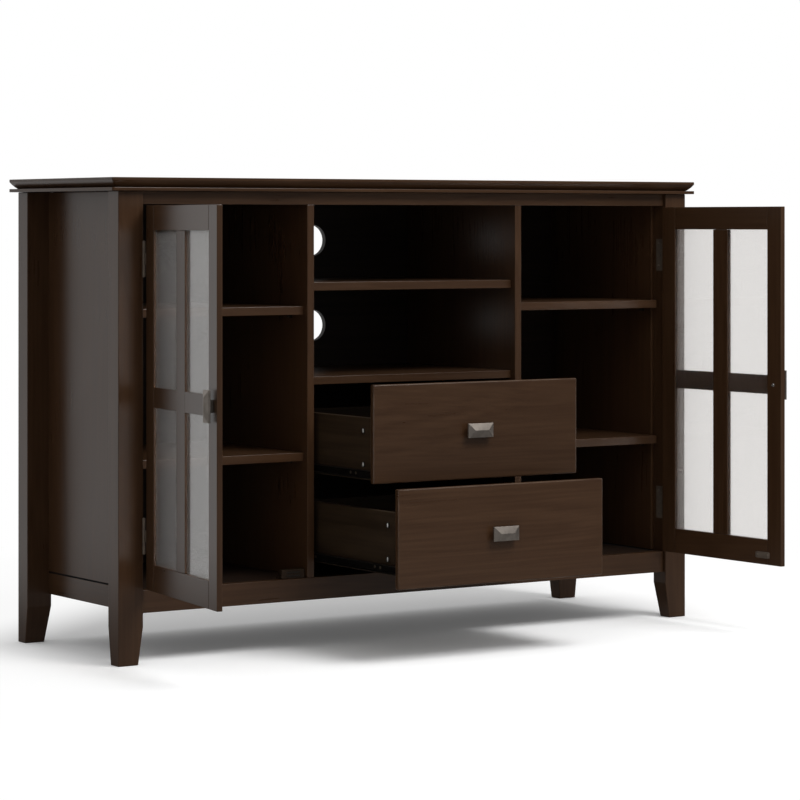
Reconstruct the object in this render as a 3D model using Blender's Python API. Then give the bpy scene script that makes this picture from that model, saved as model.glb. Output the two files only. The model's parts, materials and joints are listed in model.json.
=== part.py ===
"""Tall television stand: two glazed doors beside an open centre bay over two drawers.

Metres, +Z up, front towards -Y. The pieces are placed from the fronts of the front posts
(y = 0), the middle of the stand (x = 0) and the floor (z = 0). The root empty then moves
the whole stand so that the middle of its footprint, as it stands open, is the origin.
The doors and drawers are modelled shut, flush with the posts, about their own hinge axis
or runner, and their parent empties turn or draw them to the open rest pose.
"""
import math

import bmesh
import bpy
from mathutils import Vector

# Whole stand
OVERALL_HEIGHT = 0.889
TOP_WIDTH = 1.346
TOP_SIDE_OVERHANG = 0.017
TOP_FRONT_OVERHANG = 0.010
TOP_REAR_OVERHANG = 0.006
CARCASS_DEPTH = 0.407
FLOOR_PANEL_HEIGHT = 0.135
FRONT_RECESS = 0.008
JOINT_GAP = 0.0003

# Top: a slab whose edge is a lip over a slope that swells a little, on a thin flat board
TOP_THICKNESS = 0.018
TOP_LIP = 0.0048
TOP_ARRIS = 0.0008
TOP_CORNER_RADIUS = 0.003
TOP_SLOPE_RUN = 0.0118
TOP_SLOPE_SWELL = 0.0009
STRIP_THICKNESS = 0.0062

# Posts, each with a foot that tapers on its two inner faces
POST_WIDTH = 0.051
POST_DEPTH = 0.040
FOOT_WIDTH = 0.041
FOOT_DEPTH = 0.030
FOOT_TAPER_HEIGHT = 0.070
POST_EASE = 0.0012

# Rails and boards of the carcass
RAIL_THICKNESS = 0.018
TOP_RAIL_HEIGHT = 0.024
BOTTOM_RAIL_HEIGHT = 0.042
FLOOR_PANEL_THICKNESS = 0.015
DIVIDER_THICKNESS = 0.015
DIVIDER_INNER_X = 0.2335
SIDE_PANEL_THICKNESS = 0.012
SIDE_RECESS = 0.045
BACK_THICKNESS = 0.012
BACK_RECESS = 0.003
BOARD_EASE = 0.0008

# Shelves; the centre one at a share of the height between the drawers and the top rail
SHELF_THICKNESS = 0.016
SHELF_SETBACK = 0.0135
DRAWER_SHELF_TOP = 0.514
DRAWER_SHELF_THICKNESS = 0.015
CENTRE_SHELF_SHARE = 0.549
UPPER_SIDE_SHELF_TOP = 0.648
LOWER_SIDE_SHELF_TOP = 0.371

# Cable holes in the back, each at a share of the height of its bay
CABLE_HOLE_DIAMETER = 0.064
UPPER_CABLE_HOLE_SHARE = 0.523
LOWER_CABLE_HOLE_SHARE = 0.509

# Door frames
DOOR_THICKNESS = 0.0105
DOOR_SIDE_GAP = 0.002
DOOR_END_GAP = 0.0025
STILE_WIDTH = 0.0393
MULLION_WIDTH = 0.043
DOOR_TOP_RAIL = 0.045
DOOR_BOTTOM_RAIL = 0.049
CROSS_BAR_HEIGHT = 0.037
CROSS_BAR_HOUSING = 0.004
CROSS_BAR_SETBACK = 0.0002
TENON_SHOULDER = 0.002
DOOR_EASE = 0.0009
LEFT_DOOR_OPEN_DEG = 98.6
RIGHT_DOOR_OPEN_DEG = 92.4

# Glass and the groove that holds it
GLASS_THICKNESS = 0.003
GLASS_SETBACK = 0.005
GROOVE_DEPTH = 0.006
GLASS_BITE = 0.005

# Butt hinges
LEAF_THICKNESS = 0.001
HINGE_HEIGHT = 0.065
HINGE_END_DISTANCE = 0.065
POST_LEAF_WIDTH = 0.029
POST_LEAF_AXIS_OFFSET = 0.0005
DOOR_LEAF_INSET = 0.0008
DOOR_LEAF_LET_IN = 0.0004
KNUCKLE_RADIUS = 0.003
KNUCKLE_COUNT = 3
HINGE_PIN_RADIUS = 0.0016
HINGE_PIN_HEAD_RADIUS = 0.0026
HINGE_PIN_HEAD_HEIGHT = 0.0009
HINGE_PIN_HEAD_SEAT = 0.0002
KNUCKLE_SEAM_DEG = 32.0

# Pulls
PULL_LENGTH = 0.057
PULL_WIDTH = 0.027
PULL_NECK_LENGTH = 0.022
PULL_NECK_WIDTH = 0.011
PULL_NECK_HEIGHT = 0.005
PULL_FLARE = 0.0035
PULL_RIM = 0.0035
PULL_RIDGE_RISE = 0.0047
PULL_RIDGE_LENGTH = 0.031
PULL_RIDGE_FLAT = 0.0012
PULL_EASE = 0.0004
DOOR_PULL_EDGE_DISTANCE = 0.0215

# Magnetic catches on the bottom rail and the floor panel behind the doors
CATCH_LENGTH = 0.050
CATCH_HEIGHT = 0.017
CATCH_DEPTH = 0.013
CATCH_EAR_DEPTH = 0.008
CATCH_EAR_THICKNESS = 0.003
CATCH_DIVIDER_DISTANCE = 0.004
CATCH_SETBACK = 0.0015
CATCH_EASE = 0.0006

# Drawers
DRAWER_FRONT_THICKNESS = 0.012
DRAWER_FRONT_HEIGHT = 0.1825
DRAWER_SIDE_GAP = 0.0015
DRAWER_REVEAL = 0.004
DRAWER_FRONT_EASE = 0.0022
DRAWER_SIDE_HEIGHT = 0.115
DRAWER_SIDE_THICKNESS = 0.012
DRAWER_REAR_CLEARANCE = 0.0347
LOWER_BOX_LIFT = 0.0225
UPPER_BOX_LIFT = 0.0045
DRAWER_BOTTOM_THICKNESS = 0.005
DRAWER_BOTTOM_LIFT = 0.010
DRAWER_GROOVE_DEPTH = 0.006
FRONT_GROOVE_DEPTH = 0.004
DRAWER_BOTTOM_PLAY = 0.0005
DRAWER_BOARD_EASE = 0.0006
UPPER_DRAWER_PULLED_OUT = 0.197
LOWER_DRAWER_PULLED_OUT = 0.280

# Runners: a channel on the divider and one on the drawer that slides inside it
RUNNER_GAP = 0.0135
RUNNER_HEIGHT = 0.017
RUNNER_METAL = 0.001
RUNNER_LIFT = 0.0025
RUNNER_PLAY = 0.0004
RUNNER_MOUTH = 0.001
RUNNER_FRONT_SETBACK = 0.0025
RUNNER_SEAT = 0.0004

# Facets
SLOPE_STEPS = 6
CORNER_STEPS = 2
HOLE_SIDES = 40
PIN_SIDES = 12
KNUCKLE_STEPS = 14
EASE_SEGMENTS = 2
SMOOTH_ANGLE_DEG = 30.0
EASE_ANGLE_DEG = 25.0

# One overrun for every cut, so that no cutter ends on the face it cuts
OVERRUN = 0.001

# Places worked out from the sizes above
TOP_HALF = TOP_WIDTH / 2
POST_OUTER_X = TOP_HALF - TOP_SIDE_OVERHANG
POST_INNER_X = POST_OUTER_X - POST_WIDTH
STRIP_TOP = OVERALL_HEIGHT - TOP_THICKNESS - JOINT_GAP
CARCASS_TOP = STRIP_TOP - STRIP_THICKNESS - JOINT_GAP
TOP_RAIL_UNDERSIDE = CARCASS_TOP - TOP_RAIL_HEIGHT
RAIL_REAR_Y = FRONT_RECESS + RAIL_THICKNESS
BACK_REAR_Y = CARCASS_DEPTH - BACK_RECESS
BACK_FRONT_Y = BACK_REAR_Y - BACK_THICKNESS
BOTTOM_RAIL_UNDERSIDE = FLOOR_PANEL_HEIGHT - BOTTOM_RAIL_HEIGHT
SIDE_OUTER_X = POST_OUTER_X - SIDE_RECESS
SIDE_INNER_X = SIDE_OUTER_X - SIDE_PANEL_THICKNESS
SIDE_RAIL_INNER_X = SIDE_OUTER_X - RAIL_THICKNESS
DIVIDER_OUTER_X = DIVIDER_INNER_X + DIVIDER_THICKNESS
CENTRE_HEIGHT = TOP_RAIL_UNDERSIDE - DRAWER_SHELF_TOP
CENTRE_SHELF_TOP = DRAWER_SHELF_TOP + CENTRE_SHELF_SHARE * CENTRE_HEIGHT
UPPER_BAY_HEIGHT = TOP_RAIL_UNDERSIDE - CENTRE_SHELF_TOP
LOWER_BAY_HEIGHT = CENTRE_SHELF_TOP - SHELF_THICKNESS - DRAWER_SHELF_TOP
UPPER_CABLE_HOLE_Z = CENTRE_SHELF_TOP + UPPER_CABLE_HOLE_SHARE * UPPER_BAY_HEIGHT
LOWER_CABLE_HOLE_Z = DRAWER_SHELF_TOP + LOWER_CABLE_HOLE_SHARE * LOWER_BAY_HEIGHT
SHELF_FRONT_Y = FRONT_RECESS + SHELF_SETBACK
SHELF_REAR_Y = BACK_FRONT_Y - JOINT_GAP
HINGE_AXIS_X = POST_INNER_X - JOINT_GAP + POST_LEAF_AXIS_OFFSET
HINGE_AXIS_Y = -JOINT_GAP - KNUCKLE_RADIUS
DOOR_HINGE_EDGE_X = POST_INNER_X - 2 * (LEAF_THICKNESS + JOINT_GAP) + DOOR_LEAF_LET_IN
DOOR_FREE_EDGE_X = DIVIDER_OUTER_X + DOOR_SIDE_GAP
DOOR_HINGE_EDGE = HINGE_AXIS_X - DOOR_HINGE_EDGE_X
DOOR_FREE_EDGE = HINGE_AXIS_X - DOOR_FREE_EDGE_X
DOOR_FACE = -HINGE_AXIS_Y
DOOR_BACK = DOOR_FACE + DOOR_THICKNESS
DOOR_BOTTOM = FLOOR_PANEL_HEIGHT + DOOR_END_GAP
DOOR_TOP = TOP_RAIL_UNDERSIDE - DOOR_END_GAP
SIGHT_BOTTOM = DOOR_BOTTOM + DOOR_BOTTOM_RAIL
SIGHT_TOP = DOOR_TOP - DOOR_TOP_RAIL
CROSS_BAR_CENTRE_Z = (SIGHT_BOTTOM + SIGHT_TOP) / 2
GLASS_FACE = DOOR_FACE + GLASS_SETBACK
GLASS_BACK = GLASS_FACE + GLASS_THICKNESS
PULL_HEIGHTS = (PULL_NECK_HEIGHT, PULL_FLARE, PULL_RIM, PULL_RIDGE_RISE)
BOX_OUTER_X = DIVIDER_INNER_X - RUNNER_GAP
BOX_INNER_X = BOX_OUTER_X - DRAWER_SIDE_THICKNESS
BOX_FRONT_Y = DRAWER_FRONT_THICKNESS + JOINT_GAP
BOX_REAR_Y = BACK_FRONT_Y - DRAWER_REAR_CLEARANCE
LOWER_FRONT_BOTTOM = FLOOR_PANEL_HEIGHT + DRAWER_REVEAL
UPPER_FRONT_BOTTOM = LOWER_FRONT_BOTTOM + DRAWER_FRONT_HEIGHT + DRAWER_REVEAL


def open_door_reach(open_deg):
    """How far in front of the posts a door's free edge comes when it stands open."""
    angle = math.radians(open_deg)
    return DOOR_FREE_EDGE * math.sin(angle) - DOOR_BACK * math.cos(angle) - HINGE_AXIS_Y


FRONT_REACH = max(
    open_door_reach(LEFT_DOOR_OPEN_DEG), open_door_reach(RIGHT_DOOR_OPEN_DEG),
    max(UPPER_DRAWER_PULLED_OUT, LOWER_DRAWER_PULLED_OUT) + sum(PULL_HEIGHTS) + JOINT_GAP)
REAR_REACH = CARCASS_DEPTH + TOP_REAR_OVERHANG
FOOTPRINT_MIDDLE_Y = (REAR_REACH - FRONT_REACH) / 2


def clear_scene():
    """Start from an empty scene."""
    for old in list(bpy.data.objects):
        bpy.data.objects.remove(old, do_unlink=True)


def material(name, colour, roughness, metallic=0.0, alpha=1.0):
    """A Principled material with the colour, roughness and metallic value of one finish."""
    made = bpy.data.materials.new(name)
    made.use_nodes = True
    shader = made.node_tree.nodes["Principled BSDF"]
    shader.inputs["Base Color"].default_value = (*colour, 1.0)
    shader.inputs["Roughness"].default_value = roughness
    shader.inputs["Metallic"].default_value = metallic
    shader.inputs["Alpha"].default_value = alpha
    made.diffuse_color = (*colour, alpha)
    return made


def make_materials():
    """Every finish on the stand."""
    return {
        "lacquer": material("dark_lacquer", (0.046, 0.027, 0.019), 0.38),
        "inside": material("dark_inside", (0.030, 0.019, 0.014), 0.50),
        "glass": material("clear_glass", (0.90, 0.94, 0.93), 0.05, alpha=0.3),
        "pewter": material("brushed_pewter", (0.42, 0.40, 0.37), 0.34, metallic=1.0),
        "hinge": material("hinge_steel", (0.30, 0.28, 0.26), 0.36, metallic=1.0),
        "runner": material("black_runner", (0.030, 0.030, 0.032), 0.45, metallic=0.6),
        "catch": material("catch_plastic", (0.040, 0.032, 0.028), 0.55),
    }


def empty(name, location, parent=None):
    """A named empty that carries pieces."""
    made = bpy.data.objects.new(name, None)
    bpy.context.scene.collection.objects.link(made)
    made.parent = parent
    made.location = location
    return made


def ring_mesh(rings):
    """A closed body lofted through rings of equal length, with a cap at each end."""
    body = bmesh.new()
    loops = [[body.verts.new(point) for point in ring] for ring in rings]
    for lower, upper in zip(loops, loops[1:]):
        for here in range(len(lower)):
            after = (here + 1) % len(lower)
            body.faces.new((lower[here], lower[after], upper[after], upper[here]))
    body.faces.new(loops[0])
    body.faces.new(loops[-1])
    bmesh.ops.recalc_face_normals(body, faces=body.faces)
    return body


def prism(outline, axis, start, end):
    """An outline extruded along X, Y or Z: its points are (y, z), (x, z) or (x, y)."""
    place = {
        "X": lambda a, b, along: (along, a, b),
        "Y": lambda a, b, along: (a, along, b),
        "Z": lambda a, b, along: (a, b, along),
    }[axis]
    return ring_mesh([[place(a, b, along) for a, b in outline] for along in (start, end)])


def box_mesh(x, y, z):
    """A plain board between low and high values on each axis."""
    return prism([(x[0], y[0]), (x[1], y[0]), (x[1], y[1]), (x[0], y[1])], "Z", z[0], z[1])


def turned(profile, axis, centre, sides):
    """A round body: profile is (distance along the axis, radius), centre the other two."""
    place = {
        "Y": lambda along, a, b: (centre[0] + a, along, centre[1] + b),
        "Z": lambda along, a, b: (centre[0] + a, centre[1] + b, along),
    }[axis]
    turns = [2 * math.pi * step / sides for step in range(sides)]
    return ring_mesh([
        [place(along, radius * math.cos(turn), radius * math.sin(turn)) for turn in turns]
        for along, radius in profile
    ])


def join(bodies):
    """Several separate solids in one mesh."""
    whole = bmesh.new()
    for body in bodies:
        loose = bpy.data.meshes.new("loose")
        body.to_mesh(loose)
        body.free()
        whole.from_mesh(loose)
        bpy.data.meshes.remove(loose)
    return whole


def add_piece(name, body, finish, parent, origin, ease=0.0):
    """One named sub-part, with its own origin, finish and eased arrises."""
    bmesh.ops.translate(body, verts=body.verts, vec=-Vector(origin))
    mesh = bpy.data.meshes.new(name)
    body.to_mesh(mesh)
    body.free()
    mesh.shade_smooth()
    mesh.set_sharp_from_angle(angle=math.radians(SMOOTH_ANGLE_DEG))
    piece = bpy.data.objects.new(name, mesh)
    bpy.context.scene.collection.objects.link(piece)
    mesh.materials.append(finish)
    piece.parent = parent
    piece.location = origin
    if ease > 0:
        bevel = piece.modifiers.new("eased_arris", "BEVEL")
        bevel.width = ease
        bevel.segments = EASE_SEGMENTS
        bevel.limit_method = "ANGLE"
        bevel.angle_limit = math.radians(EASE_ANGLE_DEG)
    return piece


def combine(piece, body, operation):
    """Cut a body out of a piece, or add it, with a hidden tool in the piece's own place."""
    bmesh.ops.translate(body, verts=body.verts, vec=-piece.location)
    mesh = bpy.data.meshes.new(piece.name + "_tool")
    body.to_mesh(mesh)
    body.free()
    tool = bpy.data.objects.new(piece.name + "_tool", mesh)
    bpy.context.scene.collection.objects.link(tool)
    tool.parent = piece
    tool.hide_render = True
    tool.display_type = "WIRE"
    boolean = piece.modifiers.new(operation.lower(), "BOOLEAN")
    boolean.operation = operation
    boolean.object = tool
    boolean.solver = "EXACT"
    return piece


def middle(x, y, z):
    """The centre of a board, where its origin goes."""
    return (sum(x) / 2, sum(y) / 2, sum(z) / 2)


def board(name, x, y, z, finish, parent, ease=BOARD_EASE):
    """A flat board with eased arrises, its origin at its centre."""
    return add_piece(name, box_mesh(x, y, z), finish, parent, middle(x, y, z), ease)


def mirrored(side, low, high):
    """A stretch of x on the right (side 1) or its mirror image on the left (side -1)."""
    return tuple(sorted((side * low, side * high)))


def rounded_rectangle(x, y, radius, height):
    """The corners of a rectangle, each rounded, at one height."""
    points = []
    corners = ((x[1], y[1], 0), (x[0], y[1], 1), (x[0], y[0], 2), (x[1], y[0], 3))
    for corner_x, corner_y, quarter in corners:
        centre_x = corner_x - math.copysign(radius, corner_x - sum(x) / 2)
        centre_y = corner_y - math.copysign(radius, corner_y - sum(y) / 2)
        for step in range(CORNER_STEPS + 1):
            turn = math.pi / 2 * (quarter + step / CORNER_STEPS)
            points.append((centre_x + radius * math.cos(turn),
                           centre_y + radius * math.sin(turn), height))
    return points


def top_outline(inset, height):
    """The outline of the top, drawn in by an inset."""
    return rounded_rectangle(
        (-TOP_HALF + inset, TOP_HALF - inset),
        (-TOP_FRONT_OVERHANG + inset, REAR_REACH - inset),
        TOP_CORNER_RADIUS, height)


def make_top(root, finish):
    """The slab with its sloped edge, and the thin board of the same outline under it."""
    centre_y = (REAR_REACH - TOP_FRONT_OVERHANG) / 2
    underside = OVERALL_HEIGHT - TOP_THICKNESS
    rise = TOP_THICKNESS - TOP_LIP
    length = math.hypot(TOP_SLOPE_RUN, rise)
    sections = []
    for step in range(SLOPE_STEPS + 1):
        share = step / SLOPE_STEPS
        swell = TOP_SLOPE_SWELL * math.sin(math.pi * share) / length
        sections.append((TOP_SLOPE_RUN * (1 - share) - swell * rise,
                         underside + rise * share - swell * TOP_SLOPE_RUN))
    sections.append((0, OVERALL_HEIGHT - TOP_ARRIS))
    sections.append((TOP_ARRIS, OVERALL_HEIGHT))
    slab = ring_mesh([top_outline(inset, height) for inset, height in sections])
    add_piece("top_panel", slab, finish, root, (0, centre_y, underside))
    strip = ring_mesh([top_outline(0, STRIP_TOP - STRIP_THICKNESS), top_outline(0, STRIP_TOP)])
    add_piece("top_strip", strip, finish, root, (0, centre_y, STRIP_TOP), TOP_ARRIS)


def make_posts(root, finish):
    """Four posts whose feet taper on the two faces towards the middle of the stand."""
    for end, post_y, inward in (("front", 0, 1), ("rear", CARCASS_DEPTH, -1)):
        for hand, side in (("left", -1), ("right", 1)):
            outer = side * POST_OUTER_X
            rings = []
            for height, width, depth in (
                    (0, FOOT_WIDTH, FOOT_DEPTH),
                    (FOOT_TAPER_HEIGHT, POST_WIDTH, POST_DEPTH),
                    (CARCASS_TOP, POST_WIDTH, POST_DEPTH)):
                inner = outer - side * width
                far = post_y + inward * depth
                rings.append([(outer, post_y, height), (inner, post_y, height),
                              (inner, far, height), (outer, far, height)])
            add_piece(f"post_{end}_{hand}", ring_mesh(rings), finish, root,
                      (outer, post_y, 0), POST_EASE)


def make_rails(root, finish):
    """The rails between the posts: one over the bays, and one in front and at each side."""
    between = (-POST_INNER_X + JOINT_GAP, POST_INNER_X - JOINT_GAP)
    bottom = (BOTTOM_RAIL_UNDERSIDE, FLOOR_PANEL_HEIGHT)
    board("top_rail_front", between, (FRONT_RECESS, RAIL_REAR_Y),
          (TOP_RAIL_UNDERSIDE, CARCASS_TOP), finish, root)
    board("bottom_rail_front", between, (FRONT_RECESS, RAIL_REAR_Y), bottom, finish, root)
    run = (POST_DEPTH + JOINT_GAP, CARCASS_DEPTH - POST_DEPTH - JOINT_GAP)
    for hand, side in (("left", -1), ("right", 1)):
        board(f"side_rail_{hand}", mirrored(side, SIDE_RAIL_INNER_X, SIDE_OUTER_X), run,
              bottom, finish, root)


def make_carcass_boards(root, finish, inside):
    """Floor panel notched round the side rails, dividers, side panels and bored back."""
    floor_half = POST_INNER_X - JOINT_GAP
    notched_half = SIDE_RAIL_INNER_X - JOINT_GAP
    floor_front = RAIL_REAR_Y + JOINT_GAP
    floor_rear = BACK_FRONT_Y - JOINT_GAP
    right_edge = (
        (floor_half, floor_front), (floor_half, POST_DEPTH), (notched_half, POST_DEPTH),
        (notched_half, CARCASS_DEPTH - POST_DEPTH), (floor_half, CARCASS_DEPTH - POST_DEPTH),
        (floor_half, floor_rear))
    floor_outline = [*right_edge, *[(-x, y) for x, y in reversed(right_edge)]]
    underside = FLOOR_PANEL_HEIGHT - FLOOR_PANEL_THICKNESS
    add_piece("bottom_panel", prism(floor_outline, "Z", underside, FLOOR_PANEL_HEIGHT), inside,
              root, (0, floor_front, underside), BOARD_EASE)
    standing = FLOOR_PANEL_HEIGHT + JOINT_GAP
    upper = CARCASS_TOP - JOINT_GAP
    notch_y = RAIL_REAR_Y + JOINT_GAP
    notch_z = TOP_RAIL_UNDERSIDE - JOINT_GAP
    divider_outline = (
        (FRONT_RECESS, standing), (SHELF_REAR_Y, standing), (SHELF_REAR_Y, upper),
        (notch_y, upper), (notch_y, notch_z), (FRONT_RECESS, notch_z))
    panel_y = (POST_DEPTH + JOINT_GAP, CARCASS_DEPTH - POST_DEPTH - JOINT_GAP)
    for hand, side in (("left", -1), ("right", 1)):
        x = mirrored(side, DIVIDER_INNER_X, DIVIDER_OUTER_X)
        add_piece(f"divider_{hand}", prism(divider_outline, "X", *x), finish, root,
                  (side * DIVIDER_INNER_X, FRONT_RECESS, standing), BOARD_EASE)
        board(f"side_panel_{hand}", mirrored(side, SIDE_INNER_X, SIDE_OUTER_X),
              panel_y, (standing, upper), finish, root)
    back = board("back_panel", (-POST_INNER_X + JOINT_GAP, POST_INNER_X - JOINT_GAP),
                 (BACK_FRONT_Y, BACK_REAR_Y), (BOTTOM_RAIL_UNDERSIDE, upper), inside, root)
    radius = CABLE_HOLE_DIAMETER / 2
    bores = [
        turned(((BACK_FRONT_Y - OVERRUN, radius), (BACK_REAR_Y + OVERRUN, radius)),
               "Y", (0, height), HOLE_SIDES)
        for height in (LOWER_CABLE_HOLE_Z, UPPER_CABLE_HOLE_Z)]
    combine(back, join(bores), "DIFFERENCE")


def make_shelves(root, finish):
    """Two shelves in the centre bay, the lower one over the drawers, and two beside it."""
    run = (SHELF_FRONT_Y, SHELF_REAR_Y)
    centre_x = (-DIVIDER_INNER_X + JOINT_GAP, DIVIDER_INNER_X - JOINT_GAP)
    board("centre_shelf", centre_x, run,
          (CENTRE_SHELF_TOP - SHELF_THICKNESS, CENTRE_SHELF_TOP), finish, root)
    board("drawer_top_shelf", centre_x, run,
          (DRAWER_SHELF_TOP - DRAWER_SHELF_THICKNESS, DRAWER_SHELF_TOP), finish, root)
    for hand, side in (("left", -1), ("right", 1)):
        x = mirrored(side, DIVIDER_OUTER_X + JOINT_GAP, SIDE_INNER_X - JOINT_GAP)
        for level, top in (("upper", UPPER_SIDE_SHELF_TOP), ("lower", LOWER_SIDE_SHELF_TOP)):
            board(f"{hand}_{level}_shelf", x, run, (top - SHELF_THICKNESS, top), finish, root)


def make_catches(root, finish):
    """A magnetic catch behind each door's free corner, on the bottom rail."""
    front = DOOR_THICKNESS + CATCH_SETBACK
    body_rear = front + CATCH_DEPTH
    ear_rear = body_rear + CATCH_EAR_DEPTH
    seat = FLOOR_PANEL_HEIGHT + JOINT_GAP
    outline = ((front, seat), (ear_rear, seat), (ear_rear, seat + CATCH_EAR_THICKNESS),
               (body_rear, seat + CATCH_EAR_THICKNESS), (body_rear, seat + CATCH_HEIGHT),
               (front, seat + CATCH_HEIGHT))
    near = DIVIDER_OUTER_X + CATCH_DIVIDER_DISTANCE
    for hand, side in (("left", -1), ("right", 1)):
        x = mirrored(side, near, near + CATCH_LENGTH)
        add_piece(f"{hand}_door_catch", prism(outline, "X", *x), finish, root,
                  (side * near, front, seat), CATCH_EASE)


def leaf_outline(near, far, reach, side):
    """A hinge leaf seen from above: a flat strip rolled round the pin at the origin."""
    bore = KNUCKLE_RADIUS - LEAF_THICKNESS
    root_turn = math.acos(far / KNUCKLE_RADIUS)
    seam_turn = math.acos(near / KNUCKLE_RADIUS)
    lip_turn = seam_turn + math.radians(KNUCKLE_SEAM_DEG) - 2 * math.pi
    outer = [root_turn + (lip_turn - root_turn) * step / KNUCKLE_STEPS
             for step in range(KNUCKLE_STEPS + 1)]
    inner = [lip_turn + (seam_turn - lip_turn) * step / KNUCKLE_STEPS
             for step in range(KNUCKLE_STEPS + 1)]
    points = [(far, reach)]
    points += [(KNUCKLE_RADIUS * math.cos(t), KNUCKLE_RADIUS * math.sin(t)) for t in outer]
    points += [(bore * math.cos(t), bore * math.sin(t)) for t in inner]
    points += [(near, KNUCKLE_RADIUS * math.sin(seam_turn)), (near, reach)]
    return [(side * x, y) for x, y in points]


def hinge_bottoms():
    """The heights at which the two hinges of a door start."""
    return (DOOR_BOTTOM + HINGE_END_DISTANCE, DOOR_TOP - HINGE_END_DISTANCE - HINGE_HEIGHT)


def hinge_plate(near, far, reach, side, bottom):
    """The flat of a leaf, which starts clear of the other leaf's knuckle."""
    return box_mesh(mirrored(side, near, far), (KNUCKLE_RADIUS + JOINT_GAP, reach),
                    (bottom, bottom + HINGE_HEIGHT))


def hinge_knuckles(near, far, side, bottom, places):
    """The rolled knuckles of a leaf, each with the strip that joins it to the flat."""
    pitch = HINGE_HEIGHT / KNUCKLE_COUNT
    outline = leaf_outline(near, far, KNUCKLE_RADIUS + JOINT_GAP + LEAF_THICKNESS, side)
    bodies = []
    for place in places:
        low = bottom + place * pitch + (JOINT_GAP if place > 0 else 0)
        high = bottom + (place + 1) * pitch - (JOINT_GAP if place < KNUCKLE_COUNT - 1 else 0)
        bodies.append(prism(outline, "Z", low, high))
    return join(bodies)


def moved(body, x, y):
    """A body shifted across the floor."""
    bmesh.ops.translate(body, verts=body.verts, vec=(x, y, 0))
    return body


def hinge_pin(bottom):
    """A pin on the axis with a head at each end, seated on the knuckles of the post leaf."""
    top = bottom + HINGE_HEIGHT
    low_seat = bottom + HINGE_PIN_HEAD_SEAT
    high_seat = top - HINGE_PIN_HEAD_SEAT
    profile = ((low_seat - HINGE_PIN_HEAD_HEIGHT, HINGE_PIN_HEAD_RADIUS),
               (low_seat, HINGE_PIN_HEAD_RADIUS), (low_seat, HINGE_PIN_RADIUS),
               (high_seat, HINGE_PIN_RADIUS), (high_seat, HINGE_PIN_HEAD_RADIUS),
               (high_seat + HINGE_PIN_HEAD_HEIGHT, HINGE_PIN_HEAD_RADIUS))
    return turned(profile, "Z", (0, 0), PIN_SIDES)


def make_post_hinges(root, finish):
    """The leaf on each post, with its two outer knuckles and the pin riveted in them."""
    reach = POST_LEAF_WIDTH - HINGE_AXIS_Y
    far = -POST_LEAF_AXIS_OFFSET
    near = far - LEAF_THICKNESS
    for hand, side in (("left", -1), ("right", 1)):
        place = (side * HINGE_AXIS_X, HINGE_AXIS_Y)
        for level, bottom in zip(("lower", "upper"), hinge_bottoms()):
            flat = moved(hinge_plate(near, far, reach, side, bottom), *place)
            leaf = add_piece(f"{hand}_{level}_hinge", flat, finish, root, (*place, bottom))
            knuckles = hinge_knuckles(near, far, side, bottom, range(0, KNUCKLE_COUNT, 2))
            combine(leaf, moved(knuckles, *place), "UNION")
            combine(leaf, moved(hinge_pin(bottom), *place), "UNION")


def pull_mesh(face_y, across, height, upright):
    """A cast pull that stands out of a face: neck, flare, rim and a four-sided ridged face."""
    halves = ((PULL_NECK_LENGTH, PULL_NECK_WIDTH), (PULL_NECK_LENGTH, PULL_NECK_WIDTH),
              (PULL_LENGTH, PULL_WIDTH), (PULL_LENGTH, PULL_WIDTH),
              (PULL_RIDGE_LENGTH, PULL_RIDGE_FLAT))
    rings = []
    out = JOINT_GAP
    for (length, width), rise in zip(halves, (0, *PULL_HEIGHTS)):
        out += rise
        half_x, half_z = (width / 2, length / 2) if upright else (length / 2, width / 2)
        rings.append([(across - half_x, face_y - out, height - half_z),
                      (across + half_x, face_y - out, height - half_z),
                      (across + half_x, face_y - out, height + half_z),
                      (across - half_x, face_y - out, height + half_z)])
    return ring_mesh(rings)


def grooved(edges, groove, sides):
    """The section of a frame member, as (across, through), with a groove in its sides."""
    low, high = edges
    front, back = groove
    points = [(low, DOOR_FACE), (high, DOOR_FACE)]
    if "high" in sides:
        points += [(high, front), (high - GROOVE_DEPTH, front),
                   (high - GROOVE_DEPTH, back), (high, back)]
    points += [(high, DOOR_BACK), (low, DOOR_BACK)]
    if "low" in sides:
        points += [(low, back), (low + GROOVE_DEPTH, back),
                   (low + GROOVE_DEPTH, front), (low, front)]
    return points


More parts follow.
